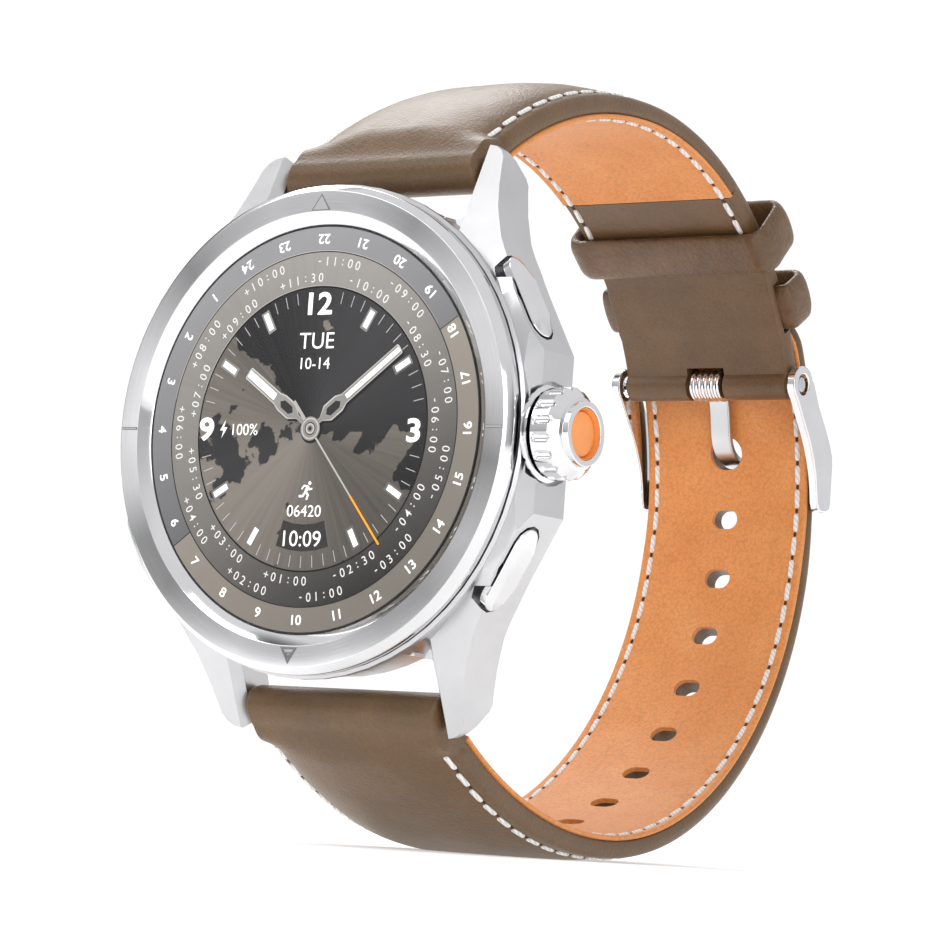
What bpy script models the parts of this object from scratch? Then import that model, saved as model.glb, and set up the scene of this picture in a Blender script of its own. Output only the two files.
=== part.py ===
"""A smartwatch with a round steel case, a turning crown, two pushers and a fastened leather strap.

Lengths are in millimetres and angles in degrees; the helpers turn them into Blender's units.
The origin is the centre of the sensor window's flat face, on the back of the case.
+X points to the crown, +Y into the wrist and +Z to twelve o'clock, so the dial faces -Y.
Depths inside the case are counted from the bezel's front face towards the wrist.
"""
import math

import bmesh
import bpy
from mathutils import Matrix, Vector

MM = 0.001
GAP = 0.3

# ---- case ----
THICKNESS = 13.0            # bezel face to sensor window face
BACK_DEPTH = 12.0           # bezel face to back cover face
BEZEL_FACE_RADIUS = 22.0
BEZEL_RADIUS = 22.65
GLASS_RADIUS = 18.45
GLASS_SEAT_RADIUS = GLASS_RADIUS + GAP
LIP_RADIUS = 22.95
DRUM_RADIUS = 22.3
DRUM_BORE = 20.3
FLOOR_BORE = 15.8
FLOOR_DEPTH = 8.9
FLOOR_THICKNESS = 0.9
COVER_RADIUS = 19.7
SCREW_CIRCLE = 17.4
LUG_GAP_HALF = 11.3
LUG_GAP_FROM_Z = 20.2
LUG_SLOPE = 0.45            # how fast the lugs' front falls back towards their tips
LUG_FRONT = (7.1, 23.0)     # a depth and a height on that sloping front
FLANK_X = 23.4
FLANK_HALF_HEIGHT = 7.35
FLANK_ANGLE = 29.0          # how far the pusher facets turn away from the crown's flank
EDGE_BEVEL = (0.7, 2.8, 3.7)    # the flanks' front bevel: its width and the depths it runs between

# ---- crown, on the X axis at this depth ----
CROWN_DEPTH = 5.6
CROWN_RADIUS = 4.15
COLLAR_X = 23.4
CROWN_BASE_X = 23.8
CROWN_FACE_X = 27.2
CROWN_GROOVES = 16
STEM_RADIUS = 0.9
TUBE_RADIUS = 2.9
COLLAR_RADIUS = 4.4

# ---- pushers ----
PUSHER_DEPTH = 4.8
PUSHER_CENTRE_Z = 12.3
PUSHER_LENGTH = 8.4
PUSHER_WIDTH = 3.0
PUSHER_PROUD = 0.4
POCKET_DEPTH = 1.5
PUSHER_HOLE_RADIUS = 2.0

# ---- spring bars and strap ----
BAR_Y = -2.8
BAR_Z = 25.3
BAR_RADIUS = 0.75
BAR_TIP_RADIUS = 0.45
STRAP_HALF_WIDTH = 11.0
BUCKLE_END_HALF_WIDTH = 10.2
TONGUE_HALF_WIDTH = 10.0
STRAP_HALF_THICKNESS = 1.0
TONGUE_HALF_THICKNESS = 0.8
ROLL_RADIUS = 2.1
PADDED_HEIGHT = 3.1
PADDED_FROM = 4.0
PADDING_FALLS_FROM = 15.0
PADDED_TO = 39.0
EDGE_ROUNDING = 0.3         # how much lower the leather lies at its very edge
LINING_FROM = 4.0           # where the roll round the spring bar ends
LINING_THICKNESS = 0.55
LAYER_GAP = 0.25
OUTER_THICKNESS = 1.2
HOLE_PITCH = 6.8
TANG_HOLE_SHIFT = 0.3       # its hole is pulled long towards the buckle
HOLE_COUNT = 9
HOLE_LENGTH = 2.1           # along the strap
HOLE_WIDTH = 3.1            # across it
TANG_HOLE_LENGTH = 3.4
TANG_HOLE_WIDTH = 3.5

# ---- buckle and keepers, placed by their angle round the upper strap's centre ----
BUCKLE_BAR_ANGLE = 19.1
BUCKLE_BAR_INSET = 0.3      # how far inside the strap's middle line the bar runs
BUCKLE_BAR_RADIUS = 0.8
EYE_BORE = BUCKLE_BAR_RADIUS + GAP
EYE_RADIUS = 1.6
NOTCH_HALF_WIDTH = 2.3
ARM_INNER_X = 10.5
ARM_OUTER_X = 11.5
ARM_OUTER_Y = 64.5
PLATE_INNER_Y = 64.1
PLATE_OUTER_Y = 64.8
PLATE_BOTTOM_Z = 0.8
PLATE_TOP_Z = 4.2
KNUCKLE_HALF_WIDTH = 1.9
KNUCKLE_RADIUS = 1.75
TANG_HALF_WIDTH = 1.2
TANG_HALF_THICKNESS = 0.4
KEEPER_WALL = 1.3
KEEPER_WIDTH = 5.0
KEEPER_HOOK = 0.4           # half the thickness of the fixed keeper's ends
KEEPER_HOOK_X = 9.6
KEEPER_INNER_HEIGHT = 3.5   # from the strap's middle line to the outer wall, over the tongue
FIXED_KEEPER_ANGLE = 33.8
LOOSE_KEEPER_ANGLE = 47.3

# ---- fineness of the round shapes ----
WIDE_STEPS = 56
SMALL_STEPS = 24
TINY_STEPS = 12

# name: colour, metallic, roughness
MATERIALS = {
    "satin_steel": ((0.80, 0.80, 0.81), 1.0, 0.38),
    "polished_steel": ((0.86, 0.86, 0.87), 1.0, 0.12),
    "screw_steel": ((0.55, 0.55, 0.57), 1.0, 0.3),
    "cover_glass": ((0.05, 0.05, 0.05), 0.0, 0.05),
    "display": ((0.10, 0.09, 0.08), 0.0, 0.3),
    "sensor_glass": ((0.02, 0.02, 0.02), 0.0, 0.08),
    "ceramic": ((0.06, 0.06, 0.06), 0.0, 0.35),
    "rubber": ((0.03, 0.03, 0.03), 0.0, 0.8),
    "frame_plastic": ((0.12, 0.12, 0.13), 0.0, 0.5),
    "circuit_board": ((0.02, 0.16, 0.09), 0.0, 0.45),
    "battery_foil": ((0.70, 0.70, 0.68), 1.0, 0.35),
    "gold": ((0.83, 0.62, 0.30), 1.0, 0.25),
    "crown_orange": ((0.95, 0.40, 0.12), 0.0, 0.35),
    "brown_leather": ((0.30, 0.18, 0.10), 0.0, 0.5),
    "orange_leather": ((0.78, 0.40, 0.17), 0.0, 0.5),
    "foam": ((0.75, 0.72, 0.66), 0.0, 0.9),
}


# ======== helpers ========

def clear_scene():
    for item in list(bpy.data.objects):
        bpy.data.objects.remove(item, do_unlink=True)


def make_collection(name):
    collection = bpy.data.collections.new(name)
    bpy.context.scene.collection.children.link(collection)
    return collection


def make_material(name):
    colour, metallic, roughness = MATERIALS[name]
    material = bpy.data.materials.new(name)
    material.use_nodes = True
    shader = material.node_tree.nodes["Principled BSDF"]
    shader.inputs["Base Color"].default_value = (*colour, 1.0)
    shader.inputs["Metallic"].default_value = metallic
    shader.inputs["Roughness"].default_value = roughness
    return material


clear_scene()
WATCH = make_collection("smartwatch")
CUTTERS = make_collection("cutters")
FINISHES = {name: make_material(name) for name in MATERIALS}


def add_object(name, mesh, place, finish):
    """A visible piece with a finish, or a cutter without one. place is its matrix in millimetres."""
    item = bpy.data.objects.new(name, mesh)
    item.matrix_world = Matrix.Scale(MM, 4) @ place @ Matrix.Scale(1 / MM, 4)
    if finish:
        mesh.materials.append(FINISHES[finish])
        WATCH.objects.link(item)
    else:
        CUTTERS.objects.link(item)
        item.hide_render = True
        item.display_type = "WIRE"
    return item


def frame(origin, x_axis, y_axis, z_axis):
    """The matrix that puts a shape's own axes along the three given directions."""
    turn = Matrix((x_axis, y_axis, z_axis)).transposed().to_4x4()
    return Matrix.Translation(origin) @ turn


def case_axis(depth=0.0, x=0.0, z=0.0):
    """A turned case piece: its own +Z runs into the wrist, from the given depth."""
    return frame((x, depth - THICKNESS, z), (1, 0, 0), (0, 0, -1), (0, 1, 0))


def along_x(y, z):
    """A turned piece whose own +Z runs along +X through the given Y and Z."""
    return frame((0, y, z), (0, 0, -1), (0, 1, 0), (1, 0, 0))


def crown_axis():
    return along_x(CROWN_DEPTH - THICKNESS, 0)


def plan_view(depth):
    """A flat outline drawn in X and Z, with its middle at the given depth."""
    return frame((0, depth - THICKNESS, 0), (1, 0, 0), (0, 0, 1), (0, -1, 0))


def side_view(x=0.0):
    """A flat outline drawn in Y and Z, with its middle at x."""
    return frame((x, 0, 0), (0, 1, 0), (0, 0, 1), (1, 0, 0))


def signed_area(points):
    pairs = zip(points, points[1:] + points[:1])
    return sum(a[0] * b[1] - b[0] * a[1] for a, b in pairs) / 2


def turned(name, profile, place, finish=None, steps=WIDE_STEPS):
    """Turn a profile of (radius, height) pairs round +Z; a solid one starts and ends on the axis."""
    if signed_area(profile) > 0:
        profile = profile[::-1]
    closed = all(radius > 0 for radius, _ in profile)
    shape = bmesh.new()
    corners = [shape.verts.new((radius * MM, 0, height * MM)) for radius, height in profile]
    for start, end in zip(corners, corners[1:]):
        shape.edges.new((start, end))
    if closed:
        shape.edges.new((corners[-1], corners[0]))
    mesh = bpy.data.meshes.new(name)
    shape.to_mesh(mesh)
    shape.free()
    item = add_object(name, mesh, place, finish)
    screw = item.modifiers.new("Turn", "SCREW")
    screw.steps = screw.render_steps = steps
    screw.use_merge_vertices = True
    screw.merge_threshold = 0.00001
    screw.use_smooth_shade = True
    return item


def flat(name, outline, thickness, place, finish=None):
    """A flat outline with a thickness, half of it each side of its own XY plane."""
    curve = bpy.data.curves.new(name, "CURVE")
    curve.dimensions = "2D"
    curve.fill_mode = "BOTH"
    curve.extrude = thickness * MM / 2
    spline = curve.splines.new("POLY")
    spline.points.add(len(outline) - 1)
    for point, (x, y) in zip(spline.points, outline):
        point.co = (x * MM, y * MM, 0, 1)
    spline.use_cyclic_u = True
    guide = bpy.data.objects.new(name + "_outline", curve)
    CUTTERS.objects.link(guide)
    graph = bpy.context.evaluated_depsgraph_get()
    mesh = bpy.data.meshes.new_from_object(guide.evaluated_get(graph))
    bpy.data.objects.remove(guide)
    shape = bmesh.new()
    shape.from_mesh(mesh)
    bmesh.ops.remove_doubles(shape, verts=shape.verts, dist=0.000001)
    bmesh.ops.recalc_face_normals(shape, faces=shape.faces)
    shape.to_mesh(mesh)
    shape.free()
    return add_object(name, mesh, place, finish)


def cylinder(name, radius, low, high, place, finish=None, steps=SMALL_STEPS):
    return turned(name, [(0, high), (radius, high), (radius, low), (0, low)], place, finish, steps)


def block(name, size, centre, finish=None, place=Matrix.Identity(4)):
    shape = bmesh.new()
    bmesh.ops.create_cube(shape, size=1.0)
    bmesh.ops.scale(shape, vec=[length * MM for length in size], verts=shape.verts)
    mesh = bpy.data.meshes.new(name)
    shape.to_mesh(mesh)
    shape.free()
    return add_object(name, mesh, place @ Matrix.Translation(centre), finish)


def boolean(item, other, operation="DIFFERENCE"):
    step = item.modifiers.new(operation.title(), "BOOLEAN")
    step.operation = operation
    step.object = other
    step.solver = "EXACT"


def bevel(item, width, segments=1, angle=40.0):
    step = item.modifiers.new("Bevel", "BEVEL")
    step.width = width * MM
    step.segments = segments
    step.limit_method = "ANGLE"
    step.angle_limit = math.radians(angle)


def loft(name, rings, finish):
    """A closed skin through rings of points, each with the same number of points."""
    shape = bmesh.new()
    loops = [[shape.verts.new(Vector(point) * MM) for point in ring] for ring in rings]
    count = len(loops[0])
    for first, second in zip(loops, loops[1:]):
        for index in range(count):
            after = (index + 1) % count
            shape.faces.new((first[index], first[after], second[after], second[index]))
    shape.faces.new(loops[0][::-1])
    shape.faces.new(loops[-1])
    bmesh.ops.recalc_face_normals(shape, faces=shape.faces)
    mesh = bpy.data.meshes.new(name)
    shape.to_mesh(mesh)
    shape.free()
    return add_object(name, mesh, Matrix.Identity(4), finish)


def arc(centre, radius, start, end, count):
    """Points on a circle from one angle to another, both ends included."""
    angles = [math.radians(start + (end - start) * index / count) for index in range(count + 1)]
    return [(centre[0] + radius * math.cos(a), centre[1] + radius * math.sin(a)) for a in angles]


def pill(length, width, count=6):
    """An outline with round ends, its length along its own Y."""
    reach = (length - width) / 2
    return arc((0, reach), width / 2, 0, 180, count) + arc((0, -reach), width / 2, 180, 360, count)


# ======== case ========

def case_outline():
    """The case and lugs seen from the front, with straight flanks and round lug ends."""
    quarter = [(FLANK_X, FLANK_HALF_HEIGHT), (19.3, 14.75), (17.0, 18.0), (15.5, 21.0), (14.75, 23.3)]
    quarter += arc((12.1, 25.3), 2.15, 0, 90, 4)
    right = [(x, -z) for x, z in reversed(quarter)] + quarter
    left = [(-x, -z) for x, z in right]
    return right + left


def lug_front_depth(z):
    return LUG_FRONT[0] + LUG_SLOPE * (z - LUG_FRONT[1])


def lug_side_outline():
    """The lugs seen from the crown: sloping in front, cut back at the tips, arched behind."""
    upper_half = [
        (0.0, 0.0), (lug_front_depth(10.0), 10.0), (lug_front_depth(27.6), 27.6), (12.0, 24.7), (12.2, 24.0),
        (11.3, 21.4), (10.2, 18.9), (9.2, 16.6), (8.6, 14.5), (8.5, 13.0), (8.5, FLANK_HALF_HEIGHT),
    ]
    whole = upper_half + [(depth, -z) for depth, z in reversed(upper_half[1:])]
    return [(depth - THICKNESS, z) for depth, z in whole]


def cut_lug_chamfers(case):
    """The sloping edge between each lug's front and the side that faces the strap."""
    for side_z in (1, -1):
        outward = Vector((0, -1, side_z * LUG_SLOPE)).normalized()
        start = Vector((0, LUG_FRONT[0] - THICKNESS, side_z * LUG_FRONT[1]))
        place = frame(start, (1, 0, 0), outward, Vector((1, 0, 0)).cross(outward))
        for side_x in (1, -1):
            corners = [(12.5, 0.48), (10.9, -1.43), (10.0, -1.43), (10.0, 0.48)]
            boolean(case, flat("lug_chamfer_form", [(side_x * x, y) for x, y in corners], 14.0, place))


def cut_flank_bevels(case):
    """A bevel along the front edge of both flanks."""
    width, high, low = EDGE_BEVEL
    slope = (low - high) / width
    corners = [(-2.0, low - 2.0 * slope), (0.4, low + 0.4 * slope), (3.0, low), (3.0, 0.0), (-2.0, 0.0)]
    outline = [(out, depth - THICKNESS) for out, depth in corners]
    for side in (1, -1):
        place = frame((side * FLANK_X, 0, 0), (side, 0, 0), (0, 1, 0), (0, 0, side))
        boolean(case, flat("flank_bevel_form", outline, 60.0, place))


def make_mid_case():
    # round the ring the case falls away from it on all sides
    dome = turned("case_front_form", [
        (0, 2.6), (22.7, 2.2), (24.0, 2.45), (24.7, 2.8), (25.6, 3.8), (26.7, 4.7), (32.0, 7.0), (32.0, 14.0), (0, 14.0),
    ], case_axis())
    sides = flat("case_side_form", lug_side_outline(), 60.0, side_view())
    case = flat("mid_case", case_outline(), 14.0, plan_view(8.0), "satin_steel")
    boolean(case, dome, "INTERSECT")
    boolean(case, sides, "INTERSECT")
    for side in (1, -1):
        gap = rounded_box(LUG_GAP_HALF, LUG_GAP_FROM_Z, 34.0, 1.2)
        boolean(case, flat("strap_gap_form", [(x, side * z) for x, z in gap], 20.0, plan_view(8.0)))
    cut_lug_chamfers(case)
    cut_flank_bevels(case)
    drum = turned("case_drum_form", [
        (0, 1.9), (LIP_RADIUS - 0.3, 1.9), (LIP_RADIUS, 2.15), (LIP_RADIUS, 2.7), (DRUM_RADIUS, 3.4),
        (DRUM_RADIUS, 8.3), (21.1, 11.2), (0, 11.2),
    ], case_axis())
    boolean(case, drum, "UNION")
    back = COVER_RADIUS + GAP
    inside = turned("case_bore_form", [
        (0, 0), (DRUM_BORE, 0), (DRUM_BORE, FLOOR_DEPTH), (FLOOR_BORE, FLOOR_DEPTH),
        (FLOOR_BORE, FLOOR_DEPTH + FLOOR_THICKNESS), (back, FLOOR_DEPTH + FLOOR_THICKNESS),
        (back, 15.0), (0, 15.0),
    ], case_axis())
    boolean(case, inside)
    boolean(case, cylinder("crown_collar_pocket", COLLAR_RADIUS + GAP, 22.75, 30.0, crown_axis()))
    boolean(case, cylinder("crown_tube_hole", TUBE_RADIUS + GAP, 15.0, 24.0, crown_axis()))
    for side in (1, -1):
        pocket = pill(PUSHER_LENGTH + 2 * GAP, PUSHER_WIDTH + 2 * GAP)
        boolean(case, flat("pusher_pocket", pocket, 10.0, pusher_place(side, 5.0 - POCKET_DEPTH)))
        stem_hole = cylinder("pusher_hole", PUSHER_HOLE_RADIUS, -6.0, 1.0, pusher_place(side), steps=TINY_STEPS)
        boolean(case, stem_hole)
        bar_hole = along_x(BAR_Y, side * BAR_Z)
        boolean(case, cylinder("bar_hole", BAR_TIP_RADIUS + GAP, -12.9, 12.9, bar_hole, steps=TINY_STEPS))
    for x, z in screw_places():
        boolean(case, cylinder("screw_hole", 0.95, 5.0, 12.0, case_axis(0, x, z), steps=TINY_STEPS))
    return case


def make_front():
    turned("bezel", [
        (20.1, 0), (BEZEL_FACE_RADIUS, 0), (BEZEL_RADIUS - 0.05, 0.75), (BEZEL_RADIUS, 1.0),
        (BEZEL_RADIUS, 1.6), (20.0, 1.6), (20.0, 3.6), (17.6, 3.6), (17.6, 3.0),
        (GLASS_SEAT_RADIUS, 3.0), (GLASS_SEAT_RADIUS, 0.85),
    ], case_axis(), "satin_steel")
    turned("cover_glass", [
        (0, 0.75), (GLASS_RADIUS - 0.25, 0.75), (GLASS_RADIUS, 1.0), (GLASS_RADIUS, 1.75), (0, 1.75),
    ], case_axis(), "cover_glass")
    turned("display_gasket", [
        (17.65, 2.05), (GLASS_RADIUS, 2.05), (GLASS_RADIUS, 2.7), (17.65, 2.7),
    ], case_axis(), "rubber")
    cylinder("display_panel", 17.3, 2.05, 3.3, case_axis(), "display", WIDE_STEPS)


def board_outline(radius, left):
    """A round board with its left side cut straight."""
    half_angle = math.degrees(math.acos(left / radius))
    return arc((0, 0), radius, -half_angle, half_angle, 24)


def make_inside():
    turned("inner_frame", [
        (0, 3.9), (19.9, 3.9), (19.9, 8.6), (19.2, 8.6), (19.2, 4.6), (0, 4.6),
    ], case_axis(), "frame_plastic")
    inner_frame = bpy.data.objects["inner_frame"]
    boolean(inner_frame, cylinder("frame_crown_hole", 3.3, 14.0, 24.0, crown_axis()))
    for side in (1, -1):
        boolean(inner_frame, cylinder("frame_pusher_hole", 2.3, -8.0, 1.0, pusher_place(side)))
    flat("main_board", board_outline(18.5, 5.2), 0.8, plan_view(7.6), "circuit_board")
    battery = block("battery", (18.0, 3.4, 24.0), (-4.7, 6.6 - THICKNESS, 0), "battery_foil")
    bevel(battery, 0.8, 2)
    block("vibration_motor", (3.4, 2.0, 8.0), (7.4, 6.0 - THICKNESS, 3.0), "satin_steel")
    speaker = block("speaker", (6.0, 2.0, 5.0), (8.8, 6.0 - THICKNESS, -11.5), "frame_plastic")
    bevel(speaker, 0.6, 2)
    block("crown_switch", (1.6, 2.6, 4.0), (15.6, CROWN_DEPTH - THICKNESS, 0), "frame_plastic")


def screw_places():
    angles = [math.radians(angle) for angle in (45, 135, 225, 315)]
    return [(SCREW_CIRCLE * math.cos(angle), SCREW_CIRCLE * math.sin(angle)) for angle in angles]


def contact_places():
    return [(-2.2, -14.4), (2.2, -14.4)]


def make_back():
    cover = turned("back_cover", [
        (10.4, 10.8), (COVER_RADIUS, 10.8), (COVER_RADIUS, 11.3), (COVER_RADIUS - 0.9, BACK_DEPTH),
        (10.4, BACK_DEPTH),
    ], case_axis(), "ceramic")
    for x, z in screw_places():
        boolean(cover, cylinder("screw_head_pocket", 1.6, 11.2, 13.0, case_axis(0, x, z), steps=TINY_STEPS))
        boolean(cover, cylinder("cover_screw_hole", 0.95, 10.0, 12.0, case_axis(0, x, z), steps=TINY_STEPS))
    for x, z in contact_places():
        boolean(cover, cylinder("contact_hole", 1.5, 10.0, 13.0, case_axis(0, x, z), steps=TINY_STEPS))
    turned("back_gasket", [(18.9, 10.1), (19.6, 10.1), (19.6, 10.5), (18.9, 10.5)], case_axis(), "rubber")
    turned("sensor_window", [
        (0, 10.0), (11.2, 10.0), (11.2, 10.5), (10.1, 10.5), (10.1, 12.3), (9.4, 12.75),
        (7.0, THICKNESS), (0, THICKNESS),
    ], case_axis(), "sensor_glass")
    cylinder("sensor_board", 8.5, 8.7, 9.5, case_axis(), "circuit_board", SMALL_STEPS)
    for number, (x, z) in enumerate(contact_places(), 1):
        cylinder(f"charging_contact_{number}", 1.2, 10.1, BACK_DEPTH, case_axis(0, x, z), "gold", TINY_STEPS)
    for number, (x, z) in enumerate(screw_places(), 1):
        screw = turned(f"back_screw_{number}", [
            (0, 9.2), (0.65, 9.2), (0.65, 11.5), (1.3, 11.5), (1.3, 11.95), (0, 11.95),
        ], case_axis(0, x, z), "screw_steel", TINY_STEPS)
        slot = case_axis(0, x, z) @ Matrix.Translation((0, 0, 11.95))
        corners = [(-1.5, -0.18), (1.5, -0.18), (1.5, 0.18), (-1.5, 0.18)]
        boolean(screw, flat("screw_slot", corners, 0.5, slot))


# ======== crown and pushers ========

def make_crown():
    turned("crown_tube", [
        (1.35, COLLAR_X), (COLLAR_RADIUS - 0.4, COLLAR_X), (COLLAR_RADIUS, COLLAR_X - 0.2),
        (COLLAR_RADIUS, 23.05), (TUBE_RADIUS, 23.05), (TUBE_RADIUS, 20.4), (2.3, 20.4), (2.3, 22.4), (1.35, 22.4),
    ], crown_axis(), "polished_steel", SMALL_STEPS)
    turned("crown_seal", arc((1.62, 21.4), 0.42, 0, 315, 7), crown_axis(), "rubber", SMALL_STEPS)
    cap = turned("crown_cap", [
        (0, 25.7), (1.2, 25.7), (1.2, CROWN_BASE_X), (3.7, CROWN_BASE_X), (CROWN_RADIUS, CROWN_BASE_X + 0.35),
        (CROWN_RADIUS, 25.7), (3.2, 26.5), (2.95, 26.7), (2.95, CROWN_FACE_X - 0.15), (2.8, CROWN_FACE_X),
        (2.35, CROWN_FACE_X), (2.35, 26.1), (0, 26.1),
    ], crown_axis(), "polished_steel", 2 * CROWN_GROOVES)
    for index in range(CROWN_GROOVES):
        turn = Matrix.Rotation(2 * math.pi * (index + 0.5) / CROWN_GROOVES, 4, "Z")
        place = crown_axis() @ turn @ Matrix.Translation((CROWN_RADIUS + 0.1, 0, 0))
        boolean(cap, cylinder("crown_groove", 0.42, CROWN_BASE_X - 1, 25.75, place, steps=8))
    cylinder("crown_inlay", 2.05, 26.4, 26.75, crown_axis(), "crown_orange")
    cylinder("crown_stem", STEM_RADIUS, 18.9, 25.4, crown_axis(), "polished_steel", TINY_STEPS)
    cylinder("crown_plunger", 1.5, 17.2, 18.6, crown_axis(), "frame_plastic", TINY_STEPS)


def pusher_place(side, out=0.0):
    """The pusher's own frame: +Z out of the facet, +Y along the facet, +X across the case's thickness."""
    angle = math.radians(FLANK_ANGLE)
    drop = (PUSHER_CENTRE_Z - FLANK_HALF_HEIGHT) * math.tan(angle)
    normal = Vector((math.cos(angle), 0, side * math.sin(angle)))
    along = Vector((-math.sin(angle), 0, side * math.cos(angle)))
    centre = Vector((FLANK_X - drop, PUSHER_DEPTH - THICKNESS, side * PUSHER_CENTRE_Z))
    return frame(centre + normal * out, along.cross(normal), along, normal)


def make_pusher(side, prefix):
    bottom = 0.8 - POCKET_DEPTH
    middle = (PUSHER_PROUD + bottom) / 2
    head = flat(f"{prefix}_pusher", pill(PUSHER_LENGTH, PUSHER_WIDTH), PUSHER_PROUD - bottom,
                pusher_place(side, middle), "polished_steel")
    boolean(head, cylinder("pusher_stem_form", 0.8, -4.6, 0.0, pusher_place(side), steps=TINY_STEPS), "UNION")
    bevel(head, 0.4, 2, 60)
    turned(f"{prefix}_pusher_seal", [
        (1.05, -2.2), (1.7, -2.2), (1.7, -3.0), (1.05, -3.0),
    ], pusher_place(side), "rubber", TINY_STEPS)
    flat(f"{prefix}_pusher_switch", [(-1.0, -1.8), (1.0, -1.8), (1.0, 1.8), (-1.0, 1.8)], 1.2,
         pusher_place(side, -5.9), "frame_plastic")


# ======== strap ========

class StrapPath:
    """A line in the YZ plane made of tangent arcs (centre, radius, start angle, end angle)."""

    def __init__(self, arcs):
        self.arcs = arcs
        self.lengths = [radius * math.radians(abs(end - start)) for _, radius, start, end in arcs]
        self.length = sum(self.lengths)

    def at(self, distance):
        """The point at a distance along the line, the outward normal there and the way forward."""
        index = 0
        while index < len(self.arcs) - 1 and distance > self.lengths[index]:
            distance -= self.lengths[index]
            index += 1
        centre, radius, start, end = self.arcs[index]
        angle = math.radians(start + (end - start) * distance / self.lengths[index])
        normal = Vector((0, math.cos(angle), math.sin(angle)))
        ahead = Vector((0, -math.sin(angle), math.cos(angle))) * math.copysign(1.0, end - start)
        return Vector((0, *centre)) + normal * radius, normal, ahead

    def place(self, distance):
        """A matrix with +Z along the normal and +Y along the line."""
        point, normal, ahead = self.at(distance)
        return frame(point, ahead.cross(normal), ahead, normal)


def angle_from(centre, point):
    return math.degrees(math.atan2(point[1] - centre[1], point[0] - centre[0]))


# the buckle half rises from the upper lugs, passes the top of the loop and ends at the buckle bar
UPPER_LUG_CENTRE = (26.0, -6.75)
UPPER_CENTRE = (26.0, 2.7)
UPPER_RADIUS = 33.55
BUCKLE_PATH = StrapPath([
    (UPPER_LUG_CENTRE, 43.0, angle_from(UPPER_LUG_CENTRE, (BAR_Y, BAR_Z)), 90),
    (UPPER_CENTRE, UPPER_RADIUS, 90, BUCKLE_BAR_ANGLE),
])
BAR_POINT, BAR_NORMAL, _ = BUCKLE_PATH.at(BUCKLE_PATH.length)
BUCKLE_BAR = BAR_POINT - BAR_NORMAL * BUCKLE_BAR_INSET
LINING_END_ANGLE = 60.3

# the hole half drops from the lower lugs, passes the bottom of the loop and ends in its tongue
LOWER_LUG_CENTRE = (27.0, 9.65)
LOWER_CENTRE = (27.0, -0.4)
LOWER_RADIUS = 35.95
TONGUE_RADIUS = 41.3
TONGUE_CENTRE = (LOWER_CENTRE[0] + LOWER_RADIUS - TONGUE_RADIUS, LOWER_CENTRE[1])
TONGUE_END_ANGLE = 35.5
HOLE_PATH = StrapPath([
    (LOWER_LUG_CENTRE, 46.0, angle_from(LOWER_LUG_CENTRE, (BAR_Y, -BAR_Z)), -90),
    (LOWER_CENTRE, LOWER_RADIUS, -90, 0),
    (TONGUE_CENTRE, TONGUE_RADIUS, 0, TONGUE_END_ANGLE),
])
TONGUE_FROM = HOLE_PATH.lengths[0] + HOLE_PATH.lengths[1]
LAST_HOLE_AT = TONGUE_FROM + HOLE_PITCH
TIP_LENGTH = 7.0


def upper_at(angle):
    """The distance along the buckle half to an angle round its main arc."""
    return BUCKLE_PATH.lengths[0] + UPPER_RADIUS * math.radians(90 - angle)


LINING_END_AT = upper_at(LINING_END_ANGLE)


def rise(start, end, value):
    """0 before start, 1 after end, and a smooth rise between them."""
    share = min(max((value - start) / (end - start), 0.0), 1.0)
    return share * share * (3 - 2 * share)


def round_end(radius, distance):
    """The half height of a circle at a distance from its middle."""
    return math.sqrt(max(radius ** 2 - distance ** 2, 0.02))


def plain_half(distance, tongue):
    """Half the thickness of the flat part, which thins into the tongue."""
    thinning = STRAP_HALF_THICKNESS - TONGUE_HALF_THICKNESS if tongue else 0.0
    return STRAP_HALF_THICKNESS - thinning * rise(TONGUE_FROM - 6, TONGUE_FROM + 2, distance)


def outer_height(distance, across, tongue):
    """From the middle line to the show side: the roll at the lug, the padded crown, the flat strap, the eye."""
    if distance < 0:
        return round_end(ROLL_RADIUS, distance)
    plain = plain_half(distance, tongue)
    padded = ROLL_RADIUS + (PADDED_HEIGHT - ROLL_RADIUS) * rise(0, PADDED_FROM, distance)
    fall = 1 - rise(PADDING_FALLS_FROM, PADDED_TO, distance)
    crown = fall * (1 - across ** 4 * rise(1, PADDED_FROM, distance))
    height = plain + (padded - plain) * crown
    if not tongue:
        from_bar = distance - BUCKLE_PATH.length
        eye = round_end(EYE_RADIUS, from_bar) - BUCKLE_BAR_INSET
        height = eye if from_bar > 0 else max(height, eye)
    return height - (EDGE_ROUNDING if abs(across) > 0.95 else 0.0)


def inner_height(distance, tongue):
    """From the middle line in to the wrist side."""
    if distance < 0:
        return round_end(ROLL_RADIUS, distance)
    plain = plain_half(distance, tongue)
    height = plain + (ROLL_RADIUS - plain) * (1 - rise(0, LINING_FROM, distance))
    if not tongue:
        from_bar = distance - BUCKLE_PATH.length
        eye = round_end(EYE_RADIUS, from_bar) + BUCKLE_BAR_INSET
        height = eye if from_bar > 0 else max(height, eye)
    return height


def half_width(distance, tongue):
    """The strap narrows towards the buckle, and the tongue has a round tip."""
    end = TONGUE_HALF_WIDTH if tongue else BUCKLE_END_HALF_WIDTH
    narrow_to = TONGUE_FROM if tongue else BUCKLE_PATH.length
    share = min(max(distance / narrow_to, 0.0), 1.0)
    width = STRAP_HALF_WIDTH + (end - STRAP_HALF_WIDTH) * share
    past = distance - (HOLE_PATH.length - TIP_LENGTH)
    if tongue and past > 0:
        width *= math.sqrt(max(1 - (past / TIP_LENGTH) ** 2, 0.03))
    return width


def stations(start, end, spacing):
    count = math.ceil((end - start) / spacing)
    return [start + (end - start) * index / count for index in range(count + 1)]


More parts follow.
